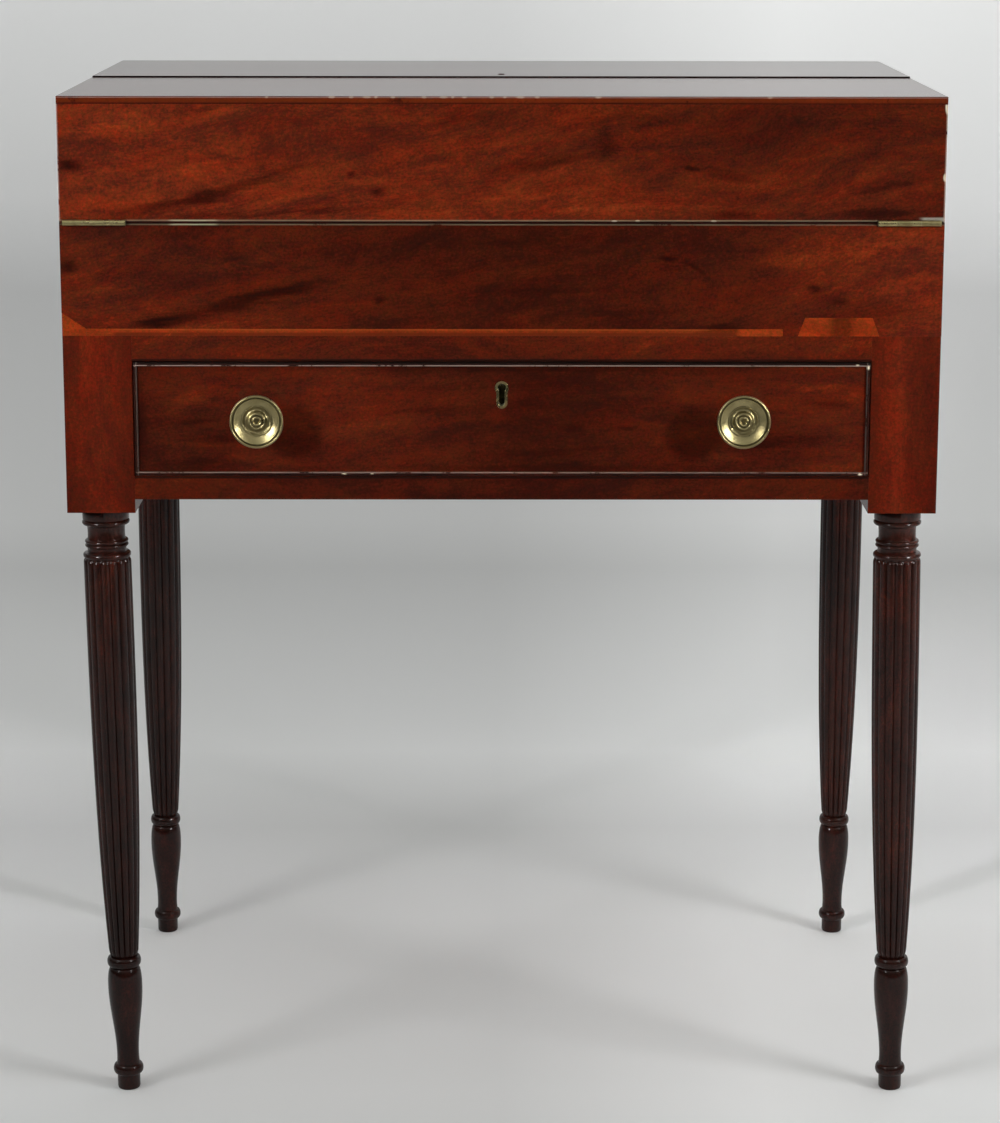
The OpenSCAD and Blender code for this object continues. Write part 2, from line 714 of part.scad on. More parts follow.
module drawer_side(s) color(inner_wood) from_front() on_side(s) difference() {
    union() {
        block(drawer_x - side_t, drawer_x, front_t, drawer_back_y, drawer_z, drawer_z + side_h);
        block(drawer_x - side_t, drawer_x, drawer_back_y - eps, drawer_l,
              drawer_z, drawer_bottom_z + drawer_bottom_t);
        drawer_front_tails(drawer_x);
        drawer_back_tails(drawer_x);
    }
    drawer_bottom_board();
}

module drawer_side_left() drawer_side(-1);
module drawer_side_right() drawer_side(1);

module drawer_back() color(inner_wood) from_front() difference() {
    block(-drawer_x, drawer_x, drawer_back_y, drawer_l,
          drawer_bottom_z + drawer_bottom_t, drawer_z + side_h);
    both_sides() drawer_back_tails(drawer_x + 1);
}

module drawer_bottom() color(inner_wood) from_front() drawer_bottom_board();

// One strip of the cockbead: a bar with a round nose and mitred ends that just clear the next
module bead_bar(length) intersection() {
    union() {
        block(-length / 2, length / 2, bead_t / 2 - bead_proud, bead_in, -bead_t, 0);
        translate([0, bead_t / 2 - bead_proud, -bead_t / 2])
            along_x(-length / 2, length / 2, bead_t / 2);
    }
    translate([0, bead_in, 0]) rotate([90, 0, 0]) linear_extrude(bead_in + bead_proud)
        polygon([[-length / 2 + mitre_gap, 0], [length / 2 - mitre_gap, 0],
                 [length / 2 - bead_t - mitre_gap, -bead_t], [-length / 2 + bead_t + mitre_gap, -bead_t]]);
}

module cockbeads() color(dark_mahogany) from_front() {
    mid_z = (drawer_z + drawer_top_z) / 2;
    half_h = (drawer_top_z - drawer_z) / 2;
    translate([0, 0, mid_z]) for (turn = [0, 180])
        rotate([0, turn, 0]) translate([0, 0, half_h]) bead_bar(2 * drawer_x);
    translate([0, 0, mid_z]) for (turn = [90, 270])
        rotate([0, turn, 0]) translate([0, 0, drawer_x]) bead_bar(2 * half_h);
}

// The knob's outline from the face inwards, as radius and distance from the drawer front
module knob_profile() {
    rim_r = knob_d / 2;
    face = knob_proj;
    dish_r = 0.5 * rim_r;
    ring_r = 0.29 * rim_r;
    back_r = rim_r - 3.4;
    stem_r = stem_d / 2;
    polygon(concat(
        [[0, face - 4.5], [keyhole_r, face - 4.5], [keyhole_r + 0.4, face - 2.6]],
        [for (a = [0 : 30 : 180]) [ring_r - 0.8 * cos(a), face - 2.6 + 0.9 * sin(a)]],
        [[0.44 * rim_r, face - 3.6], [dish_r, face - 5]],
        [for (a = [0 : 30 : 90])
            [dish_r + 0.33 * rim_r * sin(a), face - 5 - 1.2 * sin(2 * a) + 3.4 * (1 - cos(a))]],
        [for (a = [0 : 30 : 180]) [rim_r - 1.8 - 1.8 * cos(a), face - 1.8 + 1.8 * sin(a)]],
        [[rim_r - 0.6, face - 4], [back_r, face - 6.6]],
        [for (a = [0 : 15 : 90])
            [stem_r + (back_r - stem_r) * (1 - sin(a)), 8 + (face - 14.6) * cos(a)]],
        [[stem_r, 3.4], [stem_r + 2.5, 2.6], [stem_r + 3, 1.2], [stem_r + 2.6, 0], [0, 0]]));
}

module knob(x) color(brass) from_front() translate([x, 0, knob_z]) rotate([90, 0, 0]) {
    rotate_extrude() knob_profile();
    translate([0, 0, -front_t - nut_t - 1]) cylinder(h = front_t + nut_t + 2, d = shank_d);
}

module knob_left() knob(knob_xs[0]);
module knob_right() knob(knob_xs[1]);

module knob_nuts() color(brass) from_front() for (x = knob_xs)
    translate([x, front_t, knob_z]) rotate([-90, 0, 0]) difference() {
        translate([-nut_w / 2, -nut_w / 2, 0]) cube([nut_w, nut_w, nut_t]);
        translate([0, 0, -1]) cylinder(h = nut_t + 2, d = shank_d + 2 * pin_hold);
    }

module drawer_escutcheon() color(brass) from_front() at_drawer_lock() at_key() difference() {
    keyhole(liner_t, front_t - lock_t);
    translate([0, 1, 0]) keyhole(0, front_t);
}

module drawer_lock_case() color(brass) from_front() at_drawer_lock() lock_case();
module drawer_lock_bolt() color(brass) from_front() at_drawer_lock() lock_bolt();
module drawer_lock_screws() color(steel) from_front() at_drawer_lock() at_lock_screws()
    slotted_screw(lock_screw_l);

// Box
module base_panel_band() slope_band(inner_x + housing, board_t, seam_y,
                                    -fold_gap / 2, -fold_gap / 2 - panel_t);

module partition_board(x) block(-x, x, seam_y, seam_y + partition_t, stand_z + box_bottom_t, side_z);

module divider_boards() both_sides() block(divider_span / 2, divider_span / 2 + divider_t,
    seam_y + partition_t - housing, back_y + housing, stand_z + box_bottom_t, side_z);

module box_back_tails(x1) tails(inner_x, x1, back_y, case_d, stand_z, side_z, box_tails);

module box_side(s) color(mahogany) from_front() difference() {
    on_side(s) {
        slab(inner_x, case_x, [
            [front_lap, stand_z], [back_y, stand_z], [back_y, side_z], [seam_y, side_z],
            [seam_y, slope_z(seam_y, -fold_gap / 2)], [front_lap, slope_z(front_lap, -fold_gap / 2)]]);
        box_back_tails(case_x);
    }
    base_panel_band();
    partition_board(inner_x + housing);
    at_fold_hinges() downwards() hinge_pocket(fold_gap);
}

module box_side_left() box_side(-1);
module box_side_right() box_side(1);

module box_front() color(mahogany) from_front() difference() {
    slab(-case_x, case_x, [[0, stand_z], [board_t, stand_z],
                           [board_t, slope_z(board_t, -fold_gap / 2)], [0, slope_z(0, -fold_gap / 2)]]);
    both_sides() block(inner_x, case_x + 1, front_lap, board_t + 1, stand_z - 1, fold_z + lid_h);
    at_fold_hinges() downwards() hinge_pocket(fold_gap);
    patches(1);
}

module box_back() color(mahogany) from_front() difference() {
    block(-case_x, case_x, back_y, case_d, stand_z, side_z);
    both_sides() box_back_tails(case_x + 1);
    divider_boards();
    at_rear_hinges() downwards() hinge_pocket(flap_gap);
}

// Places of the screws that hold the box on the rail and the kickers
module at_box_screws() {
    x = post_x - runner_w / 2;
    spots = [[-case_w / 4, rail_d / 2], [case_w / 4, rail_d / 2],
             [-x, case_d * 0.35], [x, case_d * 0.35], [-x, case_d * 0.75], [x, case_d * 0.75]];
    for (spot = spots) translate([spot[0], spot[1], stand_z + box_bottom_t]) children();
}

module screw_shank() translate([0, 0, -box_screw_l])
    cylinder(h = box_screw_l, r = box_screw_r + shank_clear);

module box_screw(grow) countersunk(2 * box_screw_r, box_head_h, box_screw_r, box_screw_l, grow);

module box_bottom() color(inner_wood) from_front() difference() {
    block(-inner_x, inner_x, board_t, back_y, stand_z, stand_z + box_bottom_t);
    at_box_screws() box_screw(shank_clear);
}

module box_screws() color(steel) from_front() at_box_screws() difference() {
    box_screw(0);
    translate([-3 * box_screw_r, -slot_w / 2, -0.4 * box_head_h]) cube([6 * box_screw_r, slot_w, 2]);
}

// The three pieces let into the box front, seen from the front; deep reaches past the face
module patches(deep) translate([0, patch_t, stand_z]) rotate([90, 0, 0]) linear_extrude(patch_t + deep) {
    strip_x = strip_start - case_x;
    patch_x = strip_x + strip_l + patch_gap;
    polygon([[-case_x, 0], [strip_x, 0], [strip_x, strip_h], [-case_x, corner_patch_h]]);
    translate([strip_x + 0.1, 0]) square([strip_l, strip_h]);
    polygon([[patch_x, 0], [patch_x + patch_l, 0], [patch_x + patch_l - patch_slant, patch_h],
             [patch_x + patch_slant, patch_h]]);
}

module front_patches() color(pale_mahogany) from_front() patches(0);

module till_partition() color(mahogany) from_front() difference() {
    partition_board(inner_x + housing);
    divider_boards();
}

module till_dividers() color(mahogany) from_front() divider_boards();

// A baize let into a writing panel, on either side of the slope. Its recess reaches further out
module baize(side, out = 0) slope_band(inner_x - baize_border, board_t + baize_border, seam_y - baize_border,
                                       side * (fold_gap / 2 - out), side * (fold_gap / 2 + baize_t));

module base_panel() color(mahogany) from_front() difference() {
    base_panel_band();
    baize(-1, fold_gap / 2);
}

module base_baize() color(green_baize) from_front() baize(-1);

// Lid
// The wedge between the slope and the lid's top board, from depth y0 to y1
module lid_wedge(x0, x1, y0, y1) slab(x0, x1, [
    [y0, slope_z(y0, fold_gap / 2)], [y1, slope_z(y1, fold_gap / 2)], [y1, lid_board_z], [y0, lid_board_z]]);

module lid_panel_band() slope_band(inner_x + housing, board_t, lid_rear_y - lid_rail_d,
                                   fold_gap / 2, fold_gap / 2 + panel_t);

// The strike plate on the lid's rear edge, facing the top lock. Its pocket reaches further out
module strike_plate(out = 0) block(-strike_w / 2, strike_w / 2, lid_rear_y - strike_t, lid_rear_y + out,
                                   side_z + 1, side_z + 1 + strike_h);

module at_strike_screws() for (s = [-1, 1])
    translate([s * strike_screw_x, lid_rear_y, side_z + 1 + strike_h / 2]) rotate([-90, 0, 0]) children();

module strike_cuts() {
    strike_plate(1);
    at_strike_screws() screw(screw_l, shank_clear);
}

module lid_top() color(pale_mahogany) from_front() difference() {
    block(-case_x, case_x, 0, lid_rear_y, lid_board_z, top_z);
    strike_cuts();
    at_top_lock() translate([0, 0, seam_gap - eps]) bolt_mortise();
}

module lid_front() color(mahogany) from_front() difference() {
    slab(-case_x, case_x, [[0, slope_z(0, fold_gap / 2)], [board_t, slope_z(board_t, fold_gap / 2)],
                           [board_t, lid_board_z], [0, lid_board_z]]);
    both_sides() block(inner_x, case_x + 1, front_lap, board_t + 1, stand_z, top_z);
    at_fold_hinges() hinge_pocket(fold_gap);
}

module lid_side(s) color(mahogany) from_front() difference() {
    on_side(s) slab(inner_x, case_x, [
        [front_lap, slope_z(front_lap, fold_gap / 2)], [lid_rear_y, slope_z(lid_rear_y, fold_gap / 2)],
        [lid_rear_y, lid_board_z], [front_lap, lid_board_z]]);
    lid_panel_band();
    on_side(s) lid_wedge(0, inner_x + housing, lid_rear_y - lid_rail_d, lid_rear_y);
    at_fold_hinges() hinge_pocket(fold_gap);
}

module lid_side_left() lid_side(-1);
module lid_side_right() lid_side(1);

module lid_rear_rail() color(mahogany) from_front() difference() {
    lid_wedge(-inner_x - housing, inner_x + housing, lid_rear_y - lid_rail_d, lid_rear_y - mortise_l);
    strike_cuts();
}

// Two strips behind the rail. The lock's bolt goes between them, behind the strike plate
module lid_rear_strips() color(mahogany) from_front() difference() {
    both_sides() lid_wedge(mortise_x, inner_x + housing, lid_rear_y - mortise_l, lid_rear_y);
    strike_cuts();
}

module lid_panel() color(mahogany) from_front() difference() {
    lid_panel_band();
    baize(1, fold_gap / 2);
}

module lid_baize() color(green_baize) from_front() baize(1);

module lock_strike() color(brass) from_front() difference() {
    strike_plate();
    at_top_lock() bolt_mortise();
    at_strike_screws() screw(screw_l, shank_clear);
}

module lid_hinge_leaves() color(brass) from_front() at_fold_hinges() hinge_half(true, fold_gap);

module lid_screws() color(brass) from_front() {
    at_fold_hinges() leaf_screws(fold_gap);
    at_strike_screws() slotted_screw(screw_l);
}

module base_hinge_leaves() color(brass) from_front() at_fold_hinges() downwards()
    hinge_half(false, fold_gap);

module back_hinge_leaves() color(brass) from_front() at_rear_hinges() downwards()
    hinge_half(false, flap_gap);

module hinge_pins() color(steel) from_front() {
    at_fold_hinges() along_x(-hinge_l / 2, hinge_l / 2, pin_r);
    at_rear_hinges() along_x(-hinge_l / 2, hinge_l / 2, pin_r);
}

module case_hinge_screws() color(brass) from_front() {
    at_fold_hinges() downwards() leaf_screws(fold_gap);
    at_rear_hinges() downwards() leaf_screws(flap_gap);
}

// Rear flap
module rear_flap() color(mahogany) from_front() difference() {
    block(-case_x, case_x, flap_front_y, case_d, flap_z, flap_z + flap_t);
    at_rear_hinges() hinge_pocket(flap_gap);
    at_top_lock() {
        lock_body();
        at_key() translate([0, eps, 0]) keyhole(0, flap_t);
        at_lock_screws() screw(flap_screw_l, shank_clear);
    }
}

module flap_hinge_leaves() color(brass) from_front() at_rear_hinges() hinge_half(true, flap_gap);

module flap_screws() color(brass) from_front() {
    at_rear_hinges() leaf_screws(flap_gap);
    at_top_lock() at_lock_screws() slotted_screw(flap_screw_l);
}

module top_lock_case() color(brass) from_front() at_top_lock() lock_case();
module top_lock_bolt() color(brass) from_front() at_top_lock() lock_bolt();

post_front_left();
post_front_right();
post_rear_left();
post_rear_right();
leg_front_left();
leg_front_right();
leg_rear_left();
leg_rear_right();
apron_left();
apron_right();
apron_back();
rail_upper();
rail_lower();
drawer_runners();
drawer_kickers();
drawer_stops();
drawer_front();
drawer_side_left();
drawer_side_right();
drawer_back();
drawer_bottom();
cockbeads();
knob_left();
knob_right();
knob_nuts();
drawer_escutcheon();
drawer_lock_case();
drawer_lock_bolt();
drawer_lock_screws();
box_front();
box_side_left();
box_side_right();
box_back();
box_bottom();
front_patches();
till_partition();
till_dividers();
base_panel();
base_baize();
box_screws();
lid_top();
lid_front();
lid_side_left();
lid_side_right();
lid_rear_rail();
lid_rear_strips();
lid_panel();
lid_baize();
lid_hinge_leaves();
lid_screws();
lock_strike();
base_hinge_leaves();
back_hinge_leaves();
hinge_pins();
case_hinge_screws();
rear_flap();
flap_hinge_leaves();
flap_screws();
top_lock_case();
top_lock_bolt();
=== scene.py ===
import json
import math

import bmesh
import bpy
from mathutils import Matrix, Vector

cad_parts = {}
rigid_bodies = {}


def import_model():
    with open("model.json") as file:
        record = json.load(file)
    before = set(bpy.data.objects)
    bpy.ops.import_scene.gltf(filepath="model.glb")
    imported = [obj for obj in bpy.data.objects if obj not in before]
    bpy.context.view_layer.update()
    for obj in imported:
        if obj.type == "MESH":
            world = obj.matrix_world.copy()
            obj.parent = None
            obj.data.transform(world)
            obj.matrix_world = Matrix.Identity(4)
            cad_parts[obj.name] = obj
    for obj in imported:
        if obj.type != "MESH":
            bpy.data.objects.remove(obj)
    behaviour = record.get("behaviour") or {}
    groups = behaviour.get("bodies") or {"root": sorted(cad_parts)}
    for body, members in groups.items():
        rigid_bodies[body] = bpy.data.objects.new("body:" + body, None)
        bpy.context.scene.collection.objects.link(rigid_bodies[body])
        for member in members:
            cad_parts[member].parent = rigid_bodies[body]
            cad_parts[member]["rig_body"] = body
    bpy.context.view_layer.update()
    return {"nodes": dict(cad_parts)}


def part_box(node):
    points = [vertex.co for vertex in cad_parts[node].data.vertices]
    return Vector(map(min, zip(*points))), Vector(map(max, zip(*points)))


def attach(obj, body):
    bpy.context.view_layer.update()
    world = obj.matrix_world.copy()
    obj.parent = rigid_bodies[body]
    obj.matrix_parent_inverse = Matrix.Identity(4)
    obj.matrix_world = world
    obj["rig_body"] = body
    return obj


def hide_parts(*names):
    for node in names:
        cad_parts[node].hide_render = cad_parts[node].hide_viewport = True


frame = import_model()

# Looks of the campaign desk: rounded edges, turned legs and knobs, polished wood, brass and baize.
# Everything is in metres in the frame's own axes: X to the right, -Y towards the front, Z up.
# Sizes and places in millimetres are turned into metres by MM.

nodes = frame["nodes"]
MM = 0.001

# Places taken from the frame
front_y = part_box("box_front")[0].y
back_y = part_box("rear_flap")[1].y
flap_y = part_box("rear_flap")[0].y
side_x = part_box("lid_top")[1].x
fold_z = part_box("lid_front")[0].z
top_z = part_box("lid_top")[1].z
opening_lo, opening_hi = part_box("cockbeads")

# The camera that was fitted to the photograph's corners, seams and feet
CAMERA_PLACE = (-0.00725, -2.6891, 0.9856)
CAMERA_LENS = 115.07
CAMERA_PITCH, CAMERA_YAW, CAMERA_ROLL = 12.177, 0.139, 0.068


def make_camera():
    data = bpy.data.cameras.new("camera")
    data.sensor_fit = "HORIZONTAL"
    data.sensor_width = 36.0
    data.lens = CAMERA_LENS
    camera = bpy.data.objects.new("camera", data)
    bpy.context.scene.collection.objects.link(camera)
    pitch, yaw, roll = (math.radians(a) for a in (CAMERA_PITCH, CAMERA_YAW, CAMERA_ROLL))
    right = Vector((math.cos(yaw), -math.sin(yaw), 0))
    ahead = Vector((math.sin(yaw) * math.cos(pitch), math.cos(yaw) * math.cos(pitch), -math.sin(pitch)))
    above = right.cross(ahead)
    x_axis = right * math.cos(roll) + above * math.sin(roll)
    y_axis = above * math.cos(roll) - right * math.sin(roll)
    camera.matrix_world = Matrix((x_axis, y_axis, -ahead)).transposed().to_4x4()
    camera.location = CAMERA_PLACE
    bpy.context.scene.camera = camera


make_camera()


def rgb(red, green, blue):
    """A colour written as it looks, 0 to 255, turned into the shader's linear values."""
    def linear(value):
        value /= 255
        return value / 12.92 if value <= 0.04045 else ((value + 0.055) / 1.055) ** 2.4
    return (linear(red), linear(green), linear(blue), 1.0)


# Materials
class Graph:
    """The node tree of one material. Each call adds a node and returns its output."""

    def __init__(self, name, **constants):
        self.material = bpy.data.materials.new(name)
        self.material.use_nodes = True
        self.nodes = self.material.node_tree.nodes
        self.links = self.material.node_tree.links
        self.shader = self.nodes["Principled BSDF"]
        for socket, value in constants.items():
            self.shader.inputs[socket.replace("_", " ")].default_value = value

    def feed(self, socket, value):
        if isinstance(value, bpy.types.NodeSocket):
            self.links.new(value, socket)
        else:
            socket.default_value = value

    def add(self, kind, *values, **settings):
        node = self.nodes.new("ShaderNode" + kind)
        for key, value in settings.items():
            setattr(node, key, value)
        for socket, value in zip(node.inputs, values):
            self.feed(socket, value)
        return node

    def place(self):
        return self.add("TexCoord").outputs["Object"]

    def math(self, operation, *values, clamp=False):
        return self.add("Math", *values, operation=operation, use_clamp=clamp).outputs[0]

    def vector(self, operation, a, b):
        return self.add("VectorMath", a, b, operation=operation).outputs[0]

    def parts(self, vector):
        return self.add("SeparateXYZ", vector).outputs

    def join(self, x, y, z):
        return self.add("CombineXYZ", x, y, z).outputs[0]

    def remap(self, value, low, high, new_low=0.0, new_high=1.0):
        node = self.add("MapRange", value, low, high, new_low, new_high)
        node.interpolation_type = "SMOOTHSTEP"
        return node.outputs[0]

    def noise(self, vector, scale, detail=2.0, roughness=0.5, distortion=0.0):
        node = self.add("TexNoise")
        self.feed(node.inputs["Vector"], self.vector("MULTIPLY", vector, scale))
        node.inputs["Scale"].default_value = 1.0
        node.inputs["Detail"].default_value = detail
        node.inputs["Roughness"].default_value = roughness
        node.inputs["Distortion"].default_value = distortion
        return node.outputs[0]

    def mix(self, factor, a, b, blend="MIX"):
        node = self.add("Mix", data_type="RGBA", blend_type=blend)
        self.feed(node.inputs[0], factor)
        self.feed(node.inputs[6], a)
        self.feed(node.inputs[7], b)
        return node.outputs[2]

    def ramp(self, value, *stops):
        node = self.add("ValToRGB", value)
        points = node.color_ramp.elements
        while len(points) < len(stops):
            points.new(0.5)
        for point, (position, colour) in zip(points, stops):
            point.position = position
            point.color = colour
        return node.outputs[0]

    def bump(self, height, distance, strength=1.0):
        node = self.add("Bump")
        node.inputs["Strength"].default_value = strength
        node.inputs["Distance"].default_value = distance
        self.feed(node.inputs["Height"], height)
        self.links.new(node.outputs[0], self.shader.inputs["Normal"])

    def paint(self, colour, roughness=None):
        self.feed(self.shader.inputs["Base Color"], colour)
        if roughness is not None:
            self.feed(self.shader.inputs["Roughness"], roughness)
        return self.material


def grey(value):
    return (value, value, value, 1.0)


# Which of the object's axes run along the grain, across it and into the wood
AXES = {"x": (0, 2, 1), "y": (1, 2, 0), "z": (2, 0, 1), "top": (0, 1, 2)}
# The figure's layers: scale along, across and into the grain, detail, share of the whole
FIGURE_LAYERS = (((6.0, 28.0, 14.0), 3.0, 0.3), ((20.0, 80.0, 50.0), 4.0, 0.23),
                 ((60.0, 130.0, 70.0), 3.0, 0.19), ((110.0, 640.0, 400.0), 3.0, 0.1),
                 ((430.0, 560.0, 560.0), 2.0, 0.18))
CHIP = rgb(222, 208, 182)


def grain_space(g, place, grain, climb, wander, seed):
    """Where a point lies in the wood: along the grain, across it and into it, on wavy lines."""
    xyz = g.parts(place)
    along, across, deep = (xyz[i] for i in AXES[grain])
    shift = g.join(along, across, deep)
    drift = g.noise(g.vector("ADD", shift, (seed, seed * 0.7, 3.1)), (3.5, 7.0, 5.0), 2.0)
    height = g.math("MULTIPLY_ADD", along, -climb, across)
    height = g.math("MULTIPLY_ADD", drift, 10 * wander, height)
    return g.vector("ADD", g.join(along, height, deep), (seed, seed * 1.3, seed * 0.4))


def wood_figure(g, space, contrast):
    figure = 0.0
    for scale, detail, share in FIGURE_LAYERS:
        figure = g.math("MULTIPLY_ADD", g.noise(space, scale, detail, 0.6, 0.3), share, figure)
    return g.math("MULTIPLY_ADD", g.math("SUBTRACT", figure, 0.5), 2.0 * contrast, 0.5)


def wood_colour(g, place, space, figure, tones):
    """The figure's four tones, redder in places, with a fine speckle of hue."""
    colour = g.ramp(figure, (0.26, tones[0]), (0.44, tones[1]), (0.58, tones[2]), (0.78, tones[3]))
    red = g.noise(space, (22.0, 60.0, 30.0), 3.0)
    colour = g.mix(g.remap(red, 0.42, 0.66, 0.0, 0.6), colour, (1.12, 0.74, 0.6, 1.0), "MULTIPLY")
    speckle = g.ramp(g.noise(place, (520.0, 520.0, 520.0), 2.0, 0.7), (0.36, (0.72, 1.0, 0.9, 1.0)),
                     (0.5, grey(1.0)), (0.64, (1.3, 0.9, 1.0, 1.0)))
    return g.mix(1.0, colour, speckle, "MULTIPLY")


def ragged_places(g, place, space):
    """The place pulled about, far and near, which gives the marks torn edges."""
    ragged = g.add("TexNoise")
    g.feed(ragged.inputs["Vector"], g.vector("MULTIPLY", space, (26.0, 120.0, 60.0)))
    ragged.inputs["Scale"].default_value = 1.0
    ragged.inputs["Detail"].default_value = 3.0
    pulls = []
    for sway, lift in ((0.03, 0.014), (0.006, 0.004)):
        pull = g.vector("MULTIPLY_ADD", ragged.outputs["Color"], (sway, 0.0, lift))
        g.feed(pull.node.inputs[2], g.vector("SUBTRACT", place, (sway / 2, 0.0, lift / 2)))
        pulls.append(pull)
    return pulls


def add_marks(g, colour, place, space, strokes, lights, chips):
    """Dark strokes and pale lights with torn edges, and bare chips with plain ones."""
    pulled_far, pulled_near = ragged_places(g, place, space)
    for marks, shade, blend, deep, core in ((strokes, (0.2, 0.16, 0.16, 1.0), "MULTIPLY", 1.0, 0.1),
                                            (lights, (1.75, 1.85, 1.5, 1.0), "MULTIPLY", 1.0, 0.1),
                                            (chips, CHIP, "MIX", 0.003, 0.6)):
        for x, z, length, width, degrees, strength in marks:
            source = place if blend == "MIX" else pulled_far if length > 50 else pulled_near
            spot = g.add("Mapping", source, vector_type="TEXTURE")
            spot.inputs["Location"].default_value = (x * MM, front_y, z * MM)
            spot.inputs["Rotation"].default_value = (0, -math.radians(degrees), 0)
            spot.inputs["Scale"].default_value = (length * MM / 2, deep, width * MM / 2)
            far = g.add("VectorMath", spot.outputs[0], operation="LENGTH").outputs["Value"]
            colour = g.mix(g.remap(far, 1.15, core, 0.0, strength), colour, shade, blend)
    return colour


def add_wear_and_light_lines(g, colour, place, worn):
    """Patchy lines in another colour, on the front face or on the top alone: wear, painted shade in
    gaps and painted highlights.
    """
    xyz = g.parts(place)
    for axis, spot, width, strength, cover, shade, start, end in worn:
        run, line = {"x": (xyz[2], xyz[0]), "y": (xyz[0], xyz[1]), "z": (xyz[0], xyz[2])}[axis]
        face, near_face = (xyz[2], top_z + 0.0005) if axis == "y" else (xyz[1], front_y)
        patchy = g.noise(place, (40.0, 40.0, 40.0), 5.0, 0.8)
        # Each line's mask, which carries wear, painted shade and painted highlights alike
        bare = g.remap(patchy, 0.62 - 0.3 * cover, 0.7 - 0.3 * cover, 0.0, strength)
        for value, middle, reach, soft in (
                (line, spot, 0.3 * width, 0.7 * width),
                (face, near_face, 0.0018, 0.0012),
                (run, (start + end) / 2 * MM, (end - start) / 2 * MM, 0.006)):
            gap = g.math("ABSOLUTE", g.math("SUBTRACT", value, middle))
            bare = g.math("MULTIPLY", bare, g.remap(gap, reach + soft, reach))
        colour = g.mix(bare, colour, shade)
    return colour


def wood(name, tones, grain="x", climb=0.0, wander=0.012, seed=0.0, strokes=(), lights=(), chips=(),
         worn=(), contrast=1.0, shine=0.42, gloss=0.13, tone=None, ior=1.35):
    """Polished mahogany. tones are four colours from the darkest streaks to the palest wood.

    grain is the axis along it, climb how fast the figure rises along the grain. strokes, lights and
    chips are dark, pale and bare marks given as (x, z, length, width, degrees, strength).
    worn is made of lines from the helper further down: wear, painted shade in gaps and seams, and
    painted highlights on edges and beads. tone is made of level(...), the brightness across the desk."""
    g = Graph(name, Coat_Weight=shine, Coat_Roughness=gloss, Coat_IOR=ior, Specular_IOR_Level=0.04)
    place = g.place()
    space = grain_space(g, place, grain, climb, wander, seed)
    figure = wood_figure(g, space, contrast)
    colour = wood_colour(g, place, space, figure, tones)
    pores = g.remap(g.noise(space, (150.0, 2600.0, 1800.0), 1.0), 0.6, 0.72)
    colour = g.mix(g.math("MULTIPLY", pores, 0.35), colour, tones[0])
    if strokes or lights or chips:
        colour = add_marks(g, colour, place, space, strokes, lights, chips)
    if tone:
        across_desk = g.math("MULTIPLY_ADD", g.parts(place)[0], 0.5 / side_x, 0.5)
        colour = g.mix(1.0, colour, g.ramp(across_desk, *tone), "MULTIPLY")
    colour = add_wear_and_light_lines(g, colour, place, worn)
    g.bump(g.math("MULTIPLY_ADD", pores, -0.6, g.math("MULTIPLY", figure, 0.5)), 0.00006, 0.5)
    return g.paint(colour, g.math("MULTIPLY_ADD", pores, 0.2, 0.42))


# Tones of the woods, from the darkest streaks to the palest
FRONT = (rgb(33, 12, 8), rgb(63, 21, 9), rgb(87, 30, 10), rgb(118, 48, 18))
WARM = (rgb(56, 16, 8), rgb(77, 24, 9), rgb(92, 29, 10), rgb(115, 44, 17))
PLUM = (rgb(16, 6, 4), rgb(29, 12, 8), rgb(40, 17, 11), rgb(64, 28, 18))
PALE = (rgb(81, 27, 8), rgb(108, 40, 12), rgb(129, 52, 17), rgb(158, 75, 30))
INNER = (rgb(92, 56, 32), rgb(124, 80, 48), rgb(142, 96, 60), rgb(164, 116, 78))

# Colours of wear and of painted light, and half the desk's width in millimetres.
# The near-black is painted shade in gaps and seams, and also darkens a crack in the lid top.
# The olive grey is worn pale bevels that also carry a painted sheen.
# The two pale colours, pinkish and grey, are painted highlights on edges and beads, the pinkish one
# with some wear.
BARE_AND_SHEEN = rgb(112, 106, 86)
GRIME_AND_GAP_SHADE = rgb(16, 8, 6)
PINK_WEAR_AND_HIGHLIGHT = rgb(196, 172, 160)
GREY_HIGHLIGHT = rgb(120, 106, 98)
EDGE = 343.0


def wear_and_light_line(place, cover, strength, shade, width=0.9, start=-EDGE, end=EDGE, axis="z"):
    """A line at a height, or at an x or a y in metres if axis says so, from start to end. These lines
    hold wear, painted shade in gaps and seams, and painted highlights on edges and beads.

    cover, about 1, says how much of its length it keeps, and strength how much it hides. width,
    start and end are in millimetres."""
    return (axis, place, width * MM, strength, cover, shade, start, end)


def level(*stops):
    """Brightness across the desk, from stops of (x in millimetres, factor)."""
    return tuple((0.5 + 0.5 * x * MM / side_x, grey(factor)) for x, factor in stops)


# Marks as (x, z, length, width, degrees, strength), in millimetres on the front
lid_marks = (
    (-250, 735, 130, 12, 12, 0.8), (-190, 752, 130, 10, 16, 0.6), (-180, 727, 330, 7, 2, 0.55),
    (-117, 757, 10, 6, 20, 0.8), (-96, 744, 16, 9, 5, 0.9), (-334, 764, 26, 12, -5, 0.9),
    (30, 766, 110, 12, 9, 0.6), (80, 782, 22, 34, 10, 0.5), (146, 762, 17, 6, -6, 0.95),
    (175, 757, 60, 9, -9, 0.5), (180, 726, 46, 10, 0, 0.75), (296, 727, 90, 9, 2, 0.8),
    (300, 748, 80, 10, 12, 0.6), (-20, 800, 90, 20, 5, 0.35), (110, 800, 120, 14, -4, 0.35),
)
lid_lights = (
    (-300, 795, 70, 22, 10, 0.5), (-215, 803, 60, 14, 8, 0.55), (-240, 762, 130, 8, 15, 0.4),
    (40, 742, 150, 8, 8, 0.3), (250, 772, 90, 14, 10, 0.3),
)
